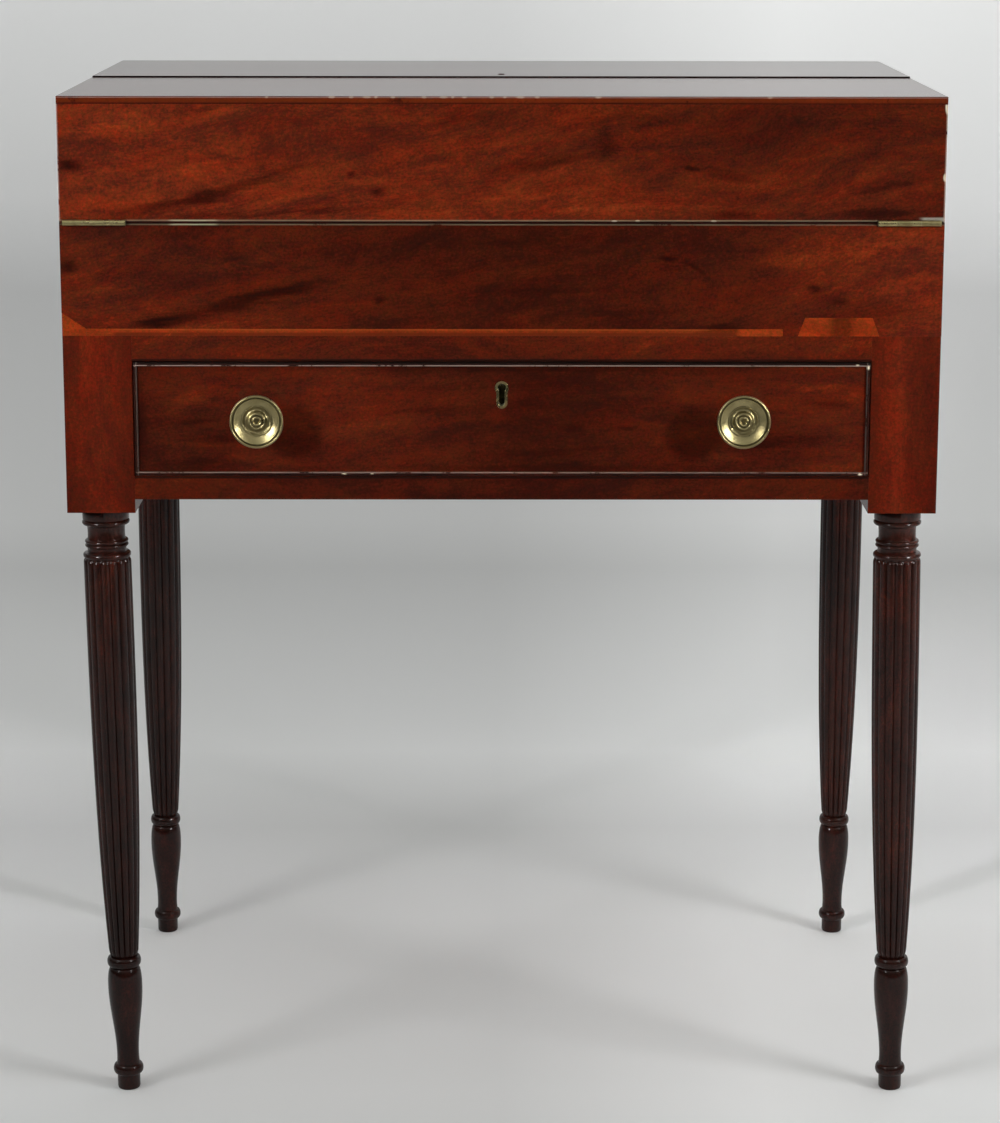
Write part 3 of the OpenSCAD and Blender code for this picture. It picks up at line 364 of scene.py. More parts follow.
box_marks = (
    (-337, 686, 22, 16, 0, 0.85), (-268, 643, 62, 13, 9, 1.0), (-200, 658, 170, 13, 13, 0.8),
    (-180, 667, 90, 14, 10, 0.6), (-95, 660, 13, 9, 10, 0.8), (129, 692, 20, 7, -8, 0.95),
    (150, 685, 26, 5, -32, 0.7), (243, 669, 18, 9, -10, 0.8), (262, 659, 22, 9, 0, 0.7),
    (290, 650, 110, 26, 0, 0.5), (171, 638, 42, 9, 0, 0.8), (40, 667, 120, 9, 2, 0.4),
    (120, 650, 90, 9, 3, 0.4), (-250, 713, 120, 12, 8, 0.35), (20, 706, 190, 14, 4, 0.3),
)
box_lights = (
    (-210, 640, 120, 7, 4, 0.5), (-190, 690, 160, 9, 12, 0.35), (222, 692, 60, 24, 0, 0.5),
    (305, 703, 80, 7, 0, 0.45), (-310, 668, 60, 9, 10, 0.4),
)
# On the drawer, the long dark strokes along the top and bottom edges and the strip at the left edge are
# painted shade beside the beads; the rest is figure
drawer_marks_and_edge_shade = (
    (-284, 566, 14, 92, 0, 0.6), (-238, 564, 46, 6, 4, 0.6), (-226, 549, 70, 8, 2, 0.45),
    (-236, 531, 100, 12, 0, 0.5), (56, 560, 26, 12, 0, 0.55), (97, 559, 22, 5, -4, 0.6),
    (256, 578, 46, 8, -4, 0.6), (20, 605, 500, 9, 0, 0.5), (0, 527, 540, 8, 0, 0.4),
    (-60, 572, 150, 7, 4, 0.4), (40, 540, 160, 8, 3, 0.4), (-20, 592, 220, 8, 2, 0.3),
    (215, 548, 90, 7, 5, 0.4),
)
drawer_lights = (
    (-242, 583, 44, 20, 14, 0.6), (-236, 545, 50, 8, 0, 0.35), (-110, 560, 110, 22, 6, 0.4),
    (178, 536, 34, 9, 0, 0.6), (240, 592, 60, 10, 0, 0.5), (-140, 590, 90, 9, 0, 0.35),
    (90, 585, 120, 9, 3, 0.25),
)

# Along the lid's lower edge at the fold: a dark line of painted shade in the seam, a pale worn bevel
# that also carries a painted sheen, brighter from x -254 to -224, a pale mark at the right end, and
# painted highlights with some wear down the lid's upright corners
lid_wear_and_light = (
    wear_and_light_line(fold_z + 0.3 * MM, 1.6, 0.8, GRIME_AND_GAP_SHADE, 1.0),
    wear_and_light_line(fold_z + 1.2 * MM, 1.2, 0.55, BARE_AND_SHEEN, 0.8),
    wear_and_light_line(fold_z + 1.2 * MM, 1.6, 0.45, rgb(168, 162, 134), 0.9, -254, -224),
    wear_and_light_line(fold_z + 2.4 * MM, 1.0, 0.7, rgb(150, 148, 136), 2.2, 328, 341),
    wear_and_light_line(-side_x, 0.7, 0.5, PINK_WEAR_AND_HIGHLIGHT, 1.2, 722, 815, "x"),
    wear_and_light_line(side_x, 0.9, 0.6, PINK_WEAR_AND_HIGHLIGHT, 1.4, 722, 815, "x"),
)
# Along the box's upper edge at the fold: a dark line of painted shade in the seam and a pale worn bevel
# that also carries a painted sheen, brighter from x -254 to -224
box_wear_and_light = (
    wear_and_light_line(fold_z - 1.0 * MM, 1.6, 0.8, GRIME_AND_GAP_SHADE, 1.0),
    wear_and_light_line(fold_z - 1.9 * MM, 0.9, 0.35, BARE_AND_SHEEN, 0.8),
    wear_and_light_line(fold_z - 1.9 * MM, 1.6, 0.4, rgb(168, 162, 134), 0.9, -254, -224),
)
lid_chips = (
    (342.6, 809, 4, 12, 0, 1.0), (342.6, 755, 4, 7, 0, 0.8), (87, 721.2, 5, 1.4, 0, 0.9),
    (105, 721.4, 4, 1.4, 0, 0.8), (164, 721.2, 5, 1.6, 0, 0.8),
)
rim_chips = tuple((x, 816.3, 1.4 * length, 1.8, 0, 0.8) for x, length in (
    (-131, 4), (-116, 3), (-104, 5), (-97, 2), (-84, 3), (-60, 3), (-45, 5), (-38, 2), (-29, 3),
    (-8, 3), (2, 2), (14, 5), (27, 3), (74, 4), (-181, 2), (206, 3)))
# On the lid top: an orange-brown band on its front edge with a dark line below it, a pale line of
# painted highlight with some wear at the rim, and a dark crack across the top 45 mm behind the front
rim_wear_and_highlight = (
    wear_and_light_line(top_z - 2.6 * MM, 0.95, 0.35, rgb(124, 50, 18), 3.4),
    wear_and_light_line(top_z - 5.8 * MM, 1.6, 0.5, rgb(34, 12, 6), 0.9),
    wear_and_light_line(top_z - 0.9 * MM, 1.2, 0.3, PINK_WEAR_AND_HIGHLIGHT, 0.5),
    wear_and_light_line(front_y + 45 * MM, 1.0, 0.85, GRIME_AND_GAP_SHADE, 0.9, -115, 335, "y"),
)
# On the beads: painted shade in the gap above the top bead, pale lines of painted highlight with some
# wear along the top and bottom beads, and grey painted highlights down the side beads
bead_shade_highlights_and_wear = (
    wear_and_light_line(opening_hi.z - 0.4 * MM, 1.0, 0.9, GRIME_AND_GAP_SHADE, 1.2),
    wear_and_light_line(opening_hi.z - 2.4 * MM, 0.85, 0.6, PINK_WEAR_AND_HIGHLIGHT, 0.6),
    wear_and_light_line(opening_lo.z + 2.6 * MM, 0.8, 0.24, PINK_WEAR_AND_HIGHLIGHT, 0.5),
    wear_and_light_line(opening_lo.x + 2.4 * MM, 0.9, 0.35, GREY_HIGHLIGHT, 0.6, 520, 612, "x"),
    wear_and_light_line(opening_hi.x - 2.4 * MM, 0.9, 0.35, GREY_HIGHLIGHT, 0.6, 520, 612, "x"),
)
bead_chips = (
    (286.5, 607, 3, 5, 0, 0.9), (278, 609, 4, 2.4, 0, 0.8), (282, 522, 5, 2.4, 0, 0.8),
    (-124, 522.5, 6, 1.2, 0, 0.7), (-102, 522.5, 4, 1.2, 0, 0.6),
)
# On the rails: dark lines of painted shade along their edges beside the drawer's gaps
rail_gap_shade = (
    wear_and_light_line(opening_hi.z + 1.8 * MM, 1.0, 0.85, GRIME_AND_GAP_SHADE, 1.3, -288, 288),
    wear_and_light_line(opening_lo.z - 1.7 * MM, 1.0, 0.85, GRIME_AND_GAP_SHADE, 1.2, -288, 288),
)
# A darker band low on the strip and a thin paler line along its top
patch_lines = (
    wear_and_light_line(632.6 * MM, 1.0, 0.8, rgb(74, 25, 9), 2.4, -300, 178),
    wear_and_light_line(636.3 * MM, 0.95, 0.35, rgb(134, 66, 30), 0.8, -300, 160),
)

# Painted shade on the tops: their colour is halved, because they take most light from above
TOP_PAINTED_SHADE = level((-343, 0.5), (343, 0.5))

# Each tone ramp scales a colour across the desk. On the fronts it is partly the wood's own tone and
# partly painted shade, darker in the middle where the two key lamps overlap
materials = {
    "lid_front": wood(
        "lid_front_wood", FRONT, climb=0.13, wander=0.009, seed=1.7, contrast=0.72,
        strokes=lid_marks, lights=lid_lights, chips=lid_chips, worn=lid_wear_and_light,
        tone=level((-343, 1.66), (-140, 1.26), (60, 1.04), (180, 0.8), (343, 0.86))),
    "box_front": wood(
        "box_front_wood", FRONT, climb=0.12, wander=0.006, seed=4.2, contrast=0.7,
        strokes=box_marks, lights=box_lights, worn=box_wear_and_light,
        tone=level((-343, 0.96), (-200, 0.66), (-70, 0.47), (40, 0.42), (114, 0.53), (200, 0.67),
                   (240, 0.87), (343, 1.5))),
    "drawer": wood(
        "drawer_front_wood", FRONT, climb=0.03, wander=0.004, seed=7.9, contrast=0.6,
        strokes=drawer_marks_and_edge_shade, lights=drawer_lights,
        tone=level((-290, 0.52), (-230, 0.72), (-120, 0.77), (20, 0.37), (90, 0.47), (290, 0.89))),
    "rail": wood("rail_wood", FRONT, climb=0.05, seed=11.3, contrast=0.7, worn=rail_gap_shade,
                 tone=level((-343, 0.86), (0, 0.67), (343, 0.82))),
    "low_rail": wood("low_rail_wood", FRONT, climb=0.04, seed=53.8, contrast=0.7, worn=rail_gap_shade,
                     tone=level((-343, 0.62), (0, 0.45), (343, 0.66))),
    "post": wood("post_wood", WARM, grain="z", seed=13.1, contrast=0.8,
                 tone=level((-343, 0.67), (-316, 0.91), (-292, 0.65), (292, 0.6), (311, 1.21),
                            (322, 0.81), (343, 0.71))),
    "side": wood("side_wood", FRONT, grain="y", climb=0.1, seed=17.7),
    "back": wood("back_wood", FRONT, climb=0.06, seed=19.4),
    # On the tops, a dark line of painted shade in the seam where the flap's front edge meets the lid
    "top": wood("top_wood", FRONT, grain="top", climb=0.05, seed=23.8, shine=0.72, gloss=0.1,
                worn=(wear_and_light_line(flap_y, 1.0, 1.0, GRIME_AND_GAP_SHADE, 1.6, axis="y"),), tone=TOP_PAINTED_SHADE, ior=1.5),
    "lid_top": wood("lid_top_wood", WARM, grain="top", climb=0.03, seed=29.5, shine=0.72, gloss=0.1,
                    chips=rim_chips, worn=rim_wear_and_highlight, tone=TOP_PAINTED_SHADE, ior=1.5),
    "pale": wood("pale_wood", PALE, seed=31.2, contrast=0.6, worn=patch_lines,
                 tone=level((-343, 0.92), (-322, 0.8), (-200, 0.75), (0, 0.64), (148, 0.8),
                            (158, 0.4), (182, 0.45), (188, 1.02), (224, 0.92), (236, 1.02),
                            (252, 0.9), (260, 0.44), (270, 0.46), (277, 1.0), (294, 1.06))),
    # The legs' tone is painted light: the right-hand legs are made lighter, where the right lamps fall
    # on them
    "leg": wood("leg_wood", PLUM, grain="z", seed=37.6, shine=0.6, gloss=0.12, ior=1.38,
                tone=level((-343, 0.95), (0, 1.0), (343, 1.6))),
    "bead": wood("bead_wood", PLUM, seed=41.9, shine=0.15, gloss=0.2, chips=bead_chips, worn=bead_shade_highlights_and_wear),
    "inner": wood("inner_wood", INNER, grain="y", seed=43.4, shine=0.1, gloss=0.3, contrast=0.7),
}


def brass(name, bright=1.0, tarnish=0.5, specks=0.5, rough=0.22):
    """Aged brass. bright scales its colour; tarnish and specks say how strongly each shows."""
    g = Graph(name, Metallic=1.0)
    place = g.place()
    cloud = g.noise(place, (90.0, 90.0, 90.0), 4.0, 0.6)
    spots = g.noise(place, (420.0, 420.0, 420.0), 3.0, 0.7)
    clean, dull = (tuple(bright * c for c in colour[:3]) + (1.0,)
                   for colour in (rgb(186, 172, 124), rgb(112, 98, 62)))
    colour = g.mix(g.remap(cloud, 0.4, 0.68, 0.0, tarnish), clean, dull)
    colour = g.mix(g.remap(spots, 0.6, 0.75, 0.0, specks), colour, rgb(70, 56, 34))
    g.bump(spots, 0.00004, 0.4)
    return g.paint(colour, g.remap(cloud, 0.3, 0.7, rough, rough + 0.16))


def steel(name):
    g = Graph(name, Metallic=1.0)
    cloud = g.noise(g.place(), (300.0, 300.0, 300.0), 4.0, 0.6)
    g.bump(cloud, 0.00003, 0.3)
    return g.paint(g.ramp(cloud, (0.3, rgb(92, 88, 82)), (0.7, rgb(140, 136, 130))),
                   g.remap(cloud, 0.3, 0.7, 0.3, 0.45))


def baize(name):
    g = Graph(name, Specular_IOR_Level=0.1, Sheen_Weight=0.4, Sheen_Roughness=0.5)
    place = g.place()
    felt = g.noise(place, (1500.0, 1500.0, 1500.0), 4.0, 0.8)
    worn = g.noise(place, (14.0, 14.0, 14.0), 4.0, 0.6)
    colour = g.ramp(felt, (0.3, rgb(30, 50, 30)), (0.7, rgb(62, 88, 54)))
    colour = g.mix(g.remap(worn, 0.5, 0.75, 0.0, 0.35), colour, rgb(96, 96, 62))
    g.bump(felt, 0.0004, 0.6)
    return g.paint(colour, 0.9)


materials["brass"] = brass("brass")
materials["dull_brass"] = brass("dull_brass", 0.75, 0.8)
materials["hinge_brass"] = brass("hinge_brass", 0.95, 0.6)
materials["knob_brass"] = brass("knob_brass", 0.6, 0.3, 0.08, 0.27)
materials["lock_metal"] = brass("lock_metal", 0.2, 1.0)
materials["steel"] = steel("steel")
materials["baize"] = baize("baize")


# Pieces
def finish_piece(obj, material, body, replaced, crease=35):
    """Gives a piece its material, smooth shading and body, and hides the CAD nodes that it replaces."""
    obj.data.materials.clear()
    obj.data.materials.append(materials[material])
    obj.data.polygons.foreach_set("use_smooth", [True] * len(obj.data.polygons))
    obj.data.set_sharp_from_angle(angle=math.radians(crease))
    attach(obj, body)
    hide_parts(*replaced)


def object_from(bm, name):
    mesh = bpy.data.meshes.new(name)
    bm.to_mesh(mesh)
    bm.free()
    obj = bpy.data.objects.new(name, mesh)
    bpy.context.scene.collection.objects.link(obj)
    return obj


def near(value, *places):
    """True within 0.6 mm of one of the places."""
    return any(abs(value - place) < 0.0006 for place in places)


# Roundings in metres: the case's upright corners, and the rims of the lid and the flap above it
CORNER_ROUNDING = 0.0011
RIM_ROUNDING = 0.0008
FLAP_RISE = 0.001
# Roundings of all other edges, in wood, on the beads, on the patches and in metal
WOOD_EDGE, BEAD_EDGE, PATCH_EDGE, METAL_EDGE = 0.00025, 0.0001, 0.00008, 0.00012
# The bevel's full width, of which each edge's weight is a share
BEVEL_WIDTH = 0.0012


def edge_rounding(a, b, fine):
    """How far an edge from a to b is rounded: most on the outside of the case, little elsewhere."""
    mid = (a + b) / 2
    on_side = near(abs(mid.x), side_x)
    on_front = near(mid.y, front_y, back_y)
    if on_side and on_front:
        return CORNER_ROUNDING
    if (on_side or on_front) and near(mid.z, top_z, top_z + FLAP_RISE):
        return RIM_ROUNDING
    return fine


def dress(node, material, fine=WOOD_EDGE, crease=30):
    """A copy of a CAD node's solid with its edges rounded."""
    bm = bmesh.new()
    bm.from_mesh(nodes[node].data)
    bmesh.ops.remove_doubles(bm, verts=bm.verts, dist=2e-6)
    bmesh.ops.dissolve_limit(bm, angle_limit=math.radians(0.4), verts=bm.verts, edges=bm.edges)
    weights = bm.edges.layers.float.new("bevel_weight_edge")
    for edge in bm.edges:
        if len(edge.link_faces) == 2 and edge.calc_face_angle(0) > math.radians(crease):
            width = edge_rounding(edge.verts[0].co, edge.verts[1].co, fine)
            edge[weights] = width / BEVEL_WIDTH
    obj = object_from(bm, node + "_dressed")
    bevel = obj.modifiers.new("rounding", "BEVEL")
    bevel.width = BEVEL_WIDTH
    bevel.segments = 3
    bevel.limit_method = "WEIGHT"
    bevel.harden_normals = True
    finish_piece(obj, material, nodes[node]["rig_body"], (node,), crease)


def turned_faces(bm, rings):
    """Skins a run of rings, each with as many points as the next."""
    for upper, lower in zip(rings, rings[1:]):
        for k in range(len(upper)):
            n = (k + 1) % len(upper)
            bm.faces.new((upper[k], lower[k], lower[n], upper[n]))
    bmesh.ops.recalc_face_normals(bm, faces=bm.faces)


# Turned legs, in millimetres. LEG_FRONT and LEG_BACK are measured from the front of the case
REEDS = 16
SIDES_PER_REED = 10
LEG_TOP = 490.5
REEDS_TOP, REEDS_FOOT, REED_DEPTH = 449.2, 114.5, 1.7
LEG_X, LEG_FRONT, LEG_BACK = 316, 27, 429


def bead_curve(z1, z0, r_in, r_out, count=12):
    """A half-round bead between two heights."""
    for i in range(count + 1):
        a = math.pi * i / count
        yield r_in + (r_out - r_in) * math.sin(a), z1 + (z0 - z1) * (1 - math.cos(a)) / 2


def shaft_heights():
    """Heights of the shaft's rings, close together at the reeds' rounded ends."""
    span = REEDS_TOP - REEDS_FOOT
    heights = [REEDS_TOP - 4.2 * (i / 14) ** 1.6 for i in range(15)]
    heights += [REEDS_TOP - 4.2 - (span - 10.2) * i / 40 for i in range(1, 41)]
    return heights + [REEDS_FOOT + 6 * (1 - i / 8) ** 1.4 for i in range(1, 9)]


def leg_stations():
    """Radius, height and depth of the reeding, from the post down to the floor."""
    def plain(points):
        return [(r, z, 0.0) for r, z in points]
    # The disc under the post, the ringed neck and the ring at the head of the reeds
    rows = plain([(0.01, LEG_TOP), (18.0, LEG_TOP), (18.5, LEG_TOP - 0.6), (18.5, 481.6),
                  (18.0, 481.0)])
    rows += plain(bead_curve(481, 476.5, 16.55, 19))
    rows += plain([(15.3, 475.8), (15.05, 474.8), (14.87, 471.5), (14.85, 469.5), (14.95, 466.5),
                   (15.3, 464.9)])
    rows += plain(bead_curve(464.7, 461.8, 15.8, 17.3))
    rows += plain(bead_curve(461.4, 458.5, 15.8, 17.3))
    rows += plain([(15.6, 457.8), (15.5, 456.2), (15.7, 454.6)])
    rows += plain(bead_curve(454, 450, 17.7, 19.1))
    rows += plain([(17.5, 449.6)])
    # The reeded shaft
    for z in shaft_heights():
        t = min(1, max(0, (z - REEDS_FOOT) / (REEDS_TOP - REEDS_FOOT)))
        rows.append((11.8 + 7.3 * (1 - (1 - t) ** 3.1), z, REED_DEPTH))
    # The collar, the vase, the foot ring and the peg
    rows += plain(bead_curve(114.5, 106, 11.6, 13.85, 16))
    rows += plain([(11.25, 105.4)])
    for i in range(9):
        a = math.pi / 2 * i / 8
        rows.append((11.25 + 2.8 * math.sin(a), 90.5 + 14.9 * math.cos(a), 0.0))
    for i in range(1, 21):
        rows.append((9.05 + 2.5 * (1 + math.cos(math.pi * i / 20)), 89.5 - 60.5 * i / 20, 0.0))
    rows += plain([(9.1, 26.5), (9.3, 23.5), (9.55, 22.0)])
    rows += plain(bead_curve(21.5, 12.5, 9.6, 12.3, 16))
    rows += plain([(9.4, 12.0), (9.3, 2.0), (8.9, 0.5), (8.2, 0.0), (0.01, 0.0)])
    return rows


def reeded_radius(radius, z, deep, u):
    """Radius at u, from -1 to 1 across one reed. The reeds' ends are rounded like fingertips."""
    if not deep:
        return radius
    arc = (1 - math.sqrt(1 - (0.93 * u) ** 2)) / (1 - math.sqrt(1 - 0.93 ** 2))
    lip = 1 - math.sqrt(1 - min(1, abs(u)) ** 2 * 0.98)
    head = min(1, max(0, (REEDS_TOP - z - 2.4 * lip) / 3.4))
    foot = min(1, max(0, (z - REEDS_FOOT - 1.5 * lip) / 5))
    full = min(math.sqrt(1 - (1 - head) ** 2), math.sqrt(foot))
    return radius - deep * (1 - full * (1 - arc))


def build_leg(node, side, depth, lean):
    """side is -1 for left and 1 for right, depth how far back it stands, lean in degrees."""
    sides = REEDS * SIDES_PER_REED
    bm = bmesh.new()
    rings = []
    for radius, z, deep in leg_stations():
        ring = []
        for k in range(sides):
            u = 2 * ((k / SIDES_PER_REED + 0.5) % 1) - 1
            r = reeded_radius(radius, z, deep, u)
            a = 2 * math.pi * (k / sides)
            ring.append(bm.verts.new((r * math.cos(a), r * math.sin(a), z - LEG_TOP)))
        rings.append(ring)
    turned_faces(bm, rings)
    turn = Matrix.Rotation(math.radians(-lean), 4, "Y")
    seat = Matrix.Translation((side * LEG_X * MM, depth * MM + front_y, LEG_TOP * MM))
    bm.transform(seat @ turn @ Matrix.Scale(MM, 4))
    for v in bm.verts:
        v.co.z = min(LEG_TOP * MM, max(0.0, v.co.z))
    obj = object_from(bm, node + "_turned")
    finish_piece(obj, "leg", nodes[node]["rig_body"], (node,), 40)


# Knobs
KNOB_SIDES = 128


def knob_outline():
    """Radius and height above the drawer front of the knob's turned outline, in millimetres."""
    face = 31.0
    points = [(0.01, face - 5.6), (1.5, face - 5.6), (1.9, face - 5.1)]
    for middle, radius, high in ((3.1, 0.9, 3.4), (5.9, 1.0, 3.4)):
        for i in range(13):
            a = math.pi * i / 12
            points.append((middle - radius * math.cos(a), face - high - radius + radius * math.sin(a)))
        points += [(middle + radius + 0.2, face - 5.0), (middle + radius + 0.5, face - 5.0)]
    points += [(7.9, face - 6.2), (8.6, face - 6.8), (9.8, face - 6.8), (10.4, face - 6.5)]
    points += [(10.8, face - 5.7), (11.2, face - 5.4), (11.7, face - 5.5)]
    for i in range(15):
        t = i / 14
        points.append((12.1 + 5.8 * t, face - 5.6 + 3.1 * (0.6 * t + 0.4 * t * t)))
    points += [(18.2, face - 3.9), (18.7, face - 3.9)]
    for i in range(17):
        a = math.pi * i / 16
        points.append((19.85 - 1.1 * math.cos(a), face - 1.8 + 1.8 * math.sin(a)))
    points += [(20.5, face - 3.6), (19.4, face - 4.9), (17.6, face - 6.6)]
    for i in range(1, 15):
        a = math.pi / 2 * i / 14
        points.append((6.5 + 11.1 * (1 - math.sin(a)), 8 + (face - 14.6) * math.cos(a)))
    points += [(6.5, 4.2), (7.0, 3.4), (8.9, 2.7), (9.5, 1.8), (9.5, 1.1), (9.1, 0.1), (9.0, 0.0)]
    points += [(3.0, 0.0), (3.0, -24.0), (0.01, -24.0)]
    return points


def build_knob(node):
    lo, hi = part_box(node)
    x, z = (lo.x + hi.x) / 2, (lo.z + hi.z) / 2
    bm = bmesh.new()
    rings = []
    for radius, out in knob_outline():
        ring = []
        for k in range(KNOB_SIDES):
            a = 2 * math.pi * k / KNOB_SIDES
            ring.append(bm.verts.new((x + radius * MM * math.cos(a), front_y - out * MM,
                                      z + radius * MM * math.sin(a))))
        rings.append(ring)
    turned_faces(bm, rings)
    obj = object_from(bm, node + "_turned")
    finish_piece(obj, "knob_brass", nodes[node]["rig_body"], (node,), 50)


# Baize sheets, let into the two writing panels. The slope climbs 84.7 mm in 232 mm
SLOPE = math.atan2(84.7, 232.0)
BAIZE_THICKNESS = 0.0007
BAIZE_COLUMNS, BAIZE_ROWS = 150, 50


def build_baize(node):
    """A slightly uneven sheet on the writing slope, with its cloth face up, or down in the lid."""
    lo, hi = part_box(node)
    bm = bmesh.new()
    up = node == "base_baize"
    normal = Vector((0, -math.sin(SLOPE), math.cos(SLOPE)))
    low_z = hi.z - (hi.y - lo.y) * math.tan(SLOPE) if up else lo.z
    grid = []
    for j in range(BAIZE_ROWS + 1):
        y = lo.y + (hi.y - lo.y) * j / BAIZE_ROWS
        line = []
        for i in range(BAIZE_COLUMNS + 1):
            x = lo.x + (hi.x - lo.x) * i / BAIZE_COLUMNS
            z = low_z + (y - lo.y) * math.tan(SLOPE)
            lift = 0.00008 * math.sin(41 * x + 7 * y * 10) * math.sin(29 * y * 3 + 5 * x)
            out = lift - 0.0002 if up else 0.0002 - lift
            line.append(bm.verts.new(Vector((x, y, z)) + normal * out))
        grid.append(line)
    for j in range(BAIZE_ROWS):
        for i in range(BAIZE_COLUMNS):
            quad = (grid[j][i], grid[j][i + 1], grid[j + 1][i + 1], grid[j + 1][i])
            bm.faces.new(quad if up else tuple(reversed(quad)))
    obj = object_from(bm, node + "_cloth")
    solid = obj.modifiers.new("thickness", "SOLIDIFY")
    solid.thickness = BAIZE_THICKNESS
    solid.offset = -1
    finish_piece(obj, "baize", nodes[node]["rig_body"], (node,))


# The material of each polished piece
WOOD_NODES = {
    "lid_front": "lid_front", "box_front": "box_front", "drawer_front": "drawer",
    "rail_upper": "rail", "rail_lower": "low_rail",
    "post_front_left": "post", "post_front_right": "post",
    "post_rear_left": "post", "post_rear_right": "post",
    "apron_left": "side", "apron_right": "side", "apron_back": "back",
    "box_side_left": "side", "box_side_right": "side", "box_back": "back",
    "lid_side_left": "side", "lid_side_right": "side",
    "lid_rear_rail": "back", "lid_rear_strips": "back",
    "till_partition": "back", "till_dividers": "side", "base_panel": "top", "lid_panel": "top",
    "rear_flap": "top", "lid_top": "lid_top",
}
# The material of each metal piece and the slot that it takes its finish from
METAL = {
    ("brass", "brass"): ("knob_nuts", "drawer_lock_bolt", "top_lock_bolt", "lock_strike",
                         "back_hinge_leaves", "flap_hinge_leaves", "flap_screws"),
    ("hinge_brass", "brass"): ("drawer_escutcheon", "lid_hinge_leaves", "base_hinge_leaves"),
    ("dull_brass", "brass"): ("lid_screws", "case_hinge_screws"),
    ("lock_metal", "brass"): ("drawer_lock_case", "top_lock_case"),
    ("steel", "steel"): ("drawer_lock_screws", "box_screws", "hinge_pins"),
}
for node, material in WOOD_NODES.items():
    dress(node, material)
dress("cockbeads", "bead", BEAD_EDGE, 20)
dress("front_patches", "pale", PATCH_EDGE)
for node in ("drawer_runners", "drawer_kickers", "drawer_stops", "drawer_side_left",
             "drawer_side_right", "drawer_back", "drawer_bottom", "box_bottom"):
    dress(node, "inner")
for (material, slot), names in METAL.items():
    for node in names:
        dress(node, material, METAL_EDGE)

build_leg("leg_front_left", -1, LEG_FRONT, 0.92)
build_leg("leg_front_right", 1, LEG_FRONT, 0.79)
build_leg("leg_rear_left", -1, LEG_BACK, 0)
build_leg("leg_rear_right", 1, LEG_BACK, 0)
build_knob("knob_left")
build_knob("knob_right")
build_baize("base_baize")
build_baize("lid_baize")


# Stage: a pale paper sweep, four soft lamps and a plain sky
# Painted light and shade on the paper along its path, which is y on the floor and y + z up the wall:
# darker in the bend behind the desk, where its shadow falls, and brighter high up the wall
PAPER_PAINTED_LIGHT = ((-0.4, 0.85), (-0.2, 0.91), (0.0, 0.88), (0.25, 0.92), (0.55, 0.8), (0.85, 0.94),
               (1.05, 0.86), (1.2, 0.8), (1.4, 0.7), (1.5, 0.8), (1.9, 0.84), (2.02, 1.1), (2.3, 1.42))
# Painted light and shade on the paper from left to right, brighter on the right. The camera sees it
# from about 0.1 to 0.9
SPREAD_PAINTED_LIGHT = ((0.0, 1.02), (0.14, 1.0), (0.5, 1.0), (0.72, 1.28), (0.88, 1.2))
PATH_LOW, PATH_HIGH = -0.4, 2.4


def stage_material(name):
    """Pale paper with painted light and shade, clear from behind, which fades out far in front of the
    desk and beside it.
    """
    g = Graph(name)
    x, y, z = g.parts(g.place())
    path = g.math("ADD", y, z)
    length = PATH_HIGH - PATH_LOW
    tone = g.ramp(g.math("MULTIPLY_ADD", path, 1 / length, -PATH_LOW / length), *(
        ((place - PATH_LOW) / length, grey(factor)) for place, factor in PAPER_PAINTED_LIGHT))
    away = g.math("MAXIMUM", g.math("ADD", y, 2.7), 2.2)
    spread = g.math("DIVIDE", x, away)
    across = g.ramp(g.math("MULTIPLY_ADD", spread, 2.5, 0.5), *(
        (place, grey(factor)) for place, factor in SPREAD_PAINTED_LIGHT))
    tone = g.mix(1.0, tone, across, "MULTIPLY")
    lit = g.add("BsdfDiffuse")
    g.feed(lit.inputs["Color"], g.mix(1.0, rgb(238, 238, 239), tone, "MULTIPLY"))
    clear = g.add("BsdfTransparent")
    behind = g.add("NewGeometry").outputs["Backfacing"]
    fade = g.math("MAXIMUM", g.remap(y, -1.0, -2.4), g.remap(g.math("ABSOLUTE", x), 1.8, 5.5))
    mixed = g.add("MixShader", g.math("MAXIMUM", behind, fade), lit.outputs[0], clear.outputs[0])
    g.links.new(mixed.outputs[0], g.nodes["Material Output"].inputs["Surface"])
    return g.material


def build_sweep():
    """Paper that lies on the floor from far in front of the desk and bends up behind it."""
    bend_y, bend_r, reach, height = 0.95, 0.5, 7.0, 4.5
    line = [(-9.0, 0.0), (-3.0, 0.0), (bend_y - 0.6, 0.0)]
    for i in range(25):
        a = math.pi / 2 * i / 24
        line.append((bend_y + bend_r * math.sin(a), bend_r * (1 - math.cos(a))))
    line.append((bend_y + bend_r, height))
    bm = bmesh.new()
    rows = [[bm.verts.new((x, y, z)) for x in (-reach, reach)] for y, z in line]
    for a, b in zip(rows, rows[1:]):
        bm.faces.new((a[0], a[1], b[1], b[0]))
    obj = object_from(bm, "sweep")
    obj.data.polygons.foreach_set("use_smooth", [True] * len(obj.data.polygons))
    obj.data.materials.append(stage_material("paper"))


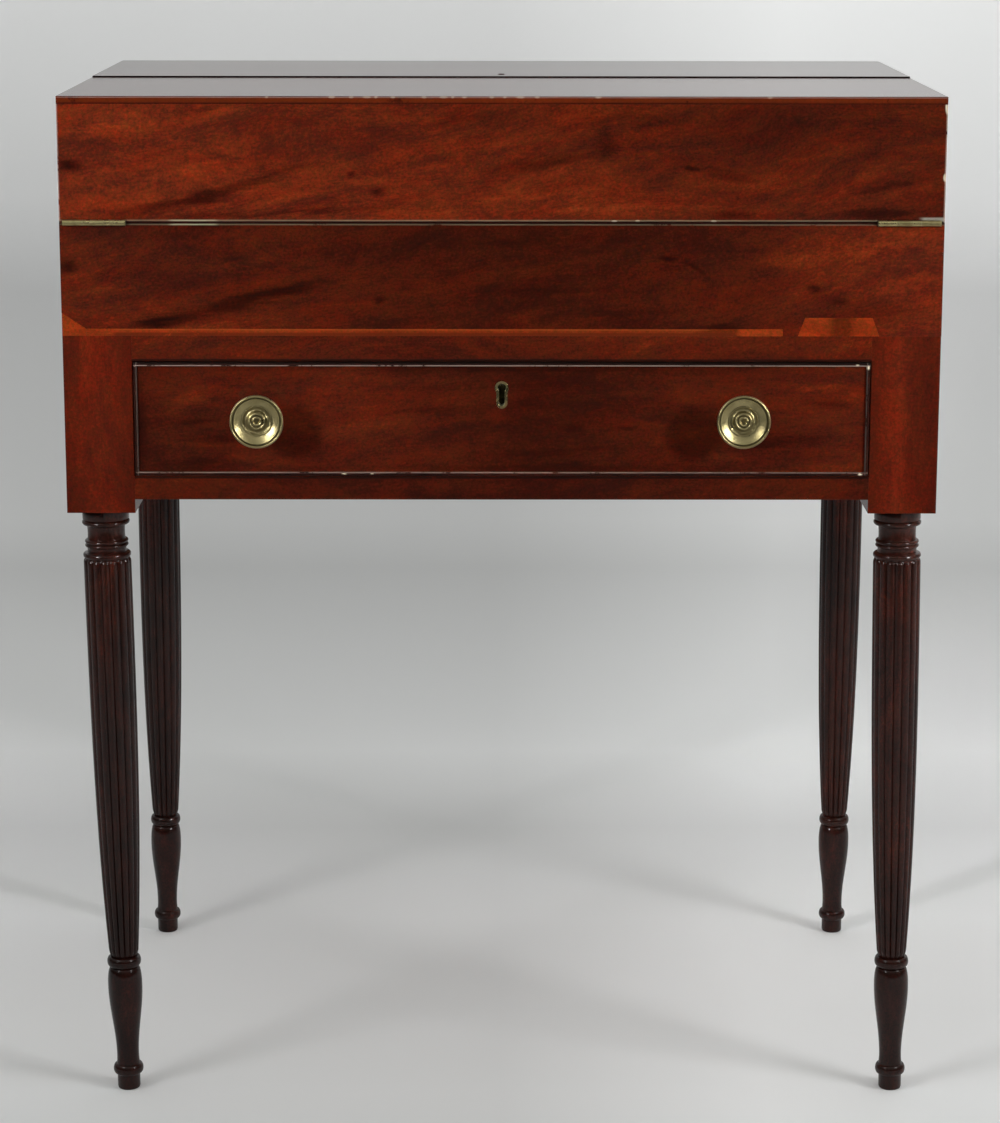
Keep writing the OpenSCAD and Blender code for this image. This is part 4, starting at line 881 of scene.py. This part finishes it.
def soft_box(name, target, azimuth, elevation, distance, size, power, spread):
    """A square lamp that shines on target from an azimuth seen from above, 0 being the front.

    Angles are in degrees, distance and size in metres and power in watts."""
    data = bpy.data.lights.new(name, "AREA")
    data.shape = "SQUARE"
    data.size = size
    data.energy = power
    data.spread = math.radians(spread)
    lamp = bpy.data.objects.new(name, data)
    bpy.context.scene.collection.objects.link(lamp)
    a, e = math.radians(azimuth), math.radians(elevation)
    away = Vector((math.sin(a) * math.cos(e), -math.cos(a) * math.cos(e), math.sin(e)))
    lamp.location = Vector(target) + away * distance
    lamp.rotation_mode = "QUATERNION"
    lamp.rotation_quaternion = away.to_track_quat("Z", "Y")


def make_world():
    """Light that grows from the horizon up, behind an even grey that only the camera sees."""
    world = bpy.data.worlds.new("studio")
    bpy.context.scene.world = world
    world.use_nodes = True
    tree = world.node_tree
    light = tree.nodes["Background"]
    coords = tree.nodes.new("ShaderNodeTexCoord")
    parts = tree.nodes.new("ShaderNodeSeparateXYZ")
    rise = tree.nodes.new("ShaderNodeMapRange")
    rise.interpolation_type = "SMOOTHSTEP"
    rise.inputs["From Min"].default_value = 0.0
    rise.inputs["From Max"].default_value = 0.85
    rise.inputs["To Min"].default_value = 0.015
    rise.inputs["To Max"].default_value = 0.66
    tree.links.new(coords.outputs["Generated"], parts.inputs[0])
    tree.links.new(parts.outputs["Z"], rise.inputs["Value"])
    tree.links.new(rise.outputs[0], light.inputs["Strength"])
    light.inputs["Color"].default_value = rgb(252, 255, 250)
    seen = tree.nodes.new("ShaderNodeBackground")
    seen.inputs["Color"].default_value = rgb(198, 200, 204)
    ray = tree.nodes.new("ShaderNodeLightPath")
    both = tree.nodes.new("ShaderNodeMixShader")
    tree.links.new(ray.outputs["Is Camera Ray"], both.inputs[0])
    tree.links.new(light.outputs[0], both.inputs[1])
    tree.links.new(seen.outputs[0], both.inputs[2])
    tree.links.new(both.outputs[0], tree.nodes["World Output"].inputs["Surface"])


# Each lamp's name, target, azimuth, elevation, distance, size, power and spread
LAMPS = (
    ("left_box", (0, 0, 0.45), -48, 36, 2.6, 0.7, 12, 180),
    ("right_box", (0, 0, 0.45), 56, 36, 2.6, 0.7, 15.5, 180),
    ("left_key", (-0.24, front_y, 0.62), -43, 17, 2.2, 0.5, 0.88, 18),
    ("right_key", (0.24, front_y, 0.62), 52, 16, 2.2, 0.5, 1.08, 18),
)

build_sweep()
for lamp in LAMPS:
    soft_box(*lamp)
make_world()
bpy.context.scene.view_settings.view_transform = "Standard"
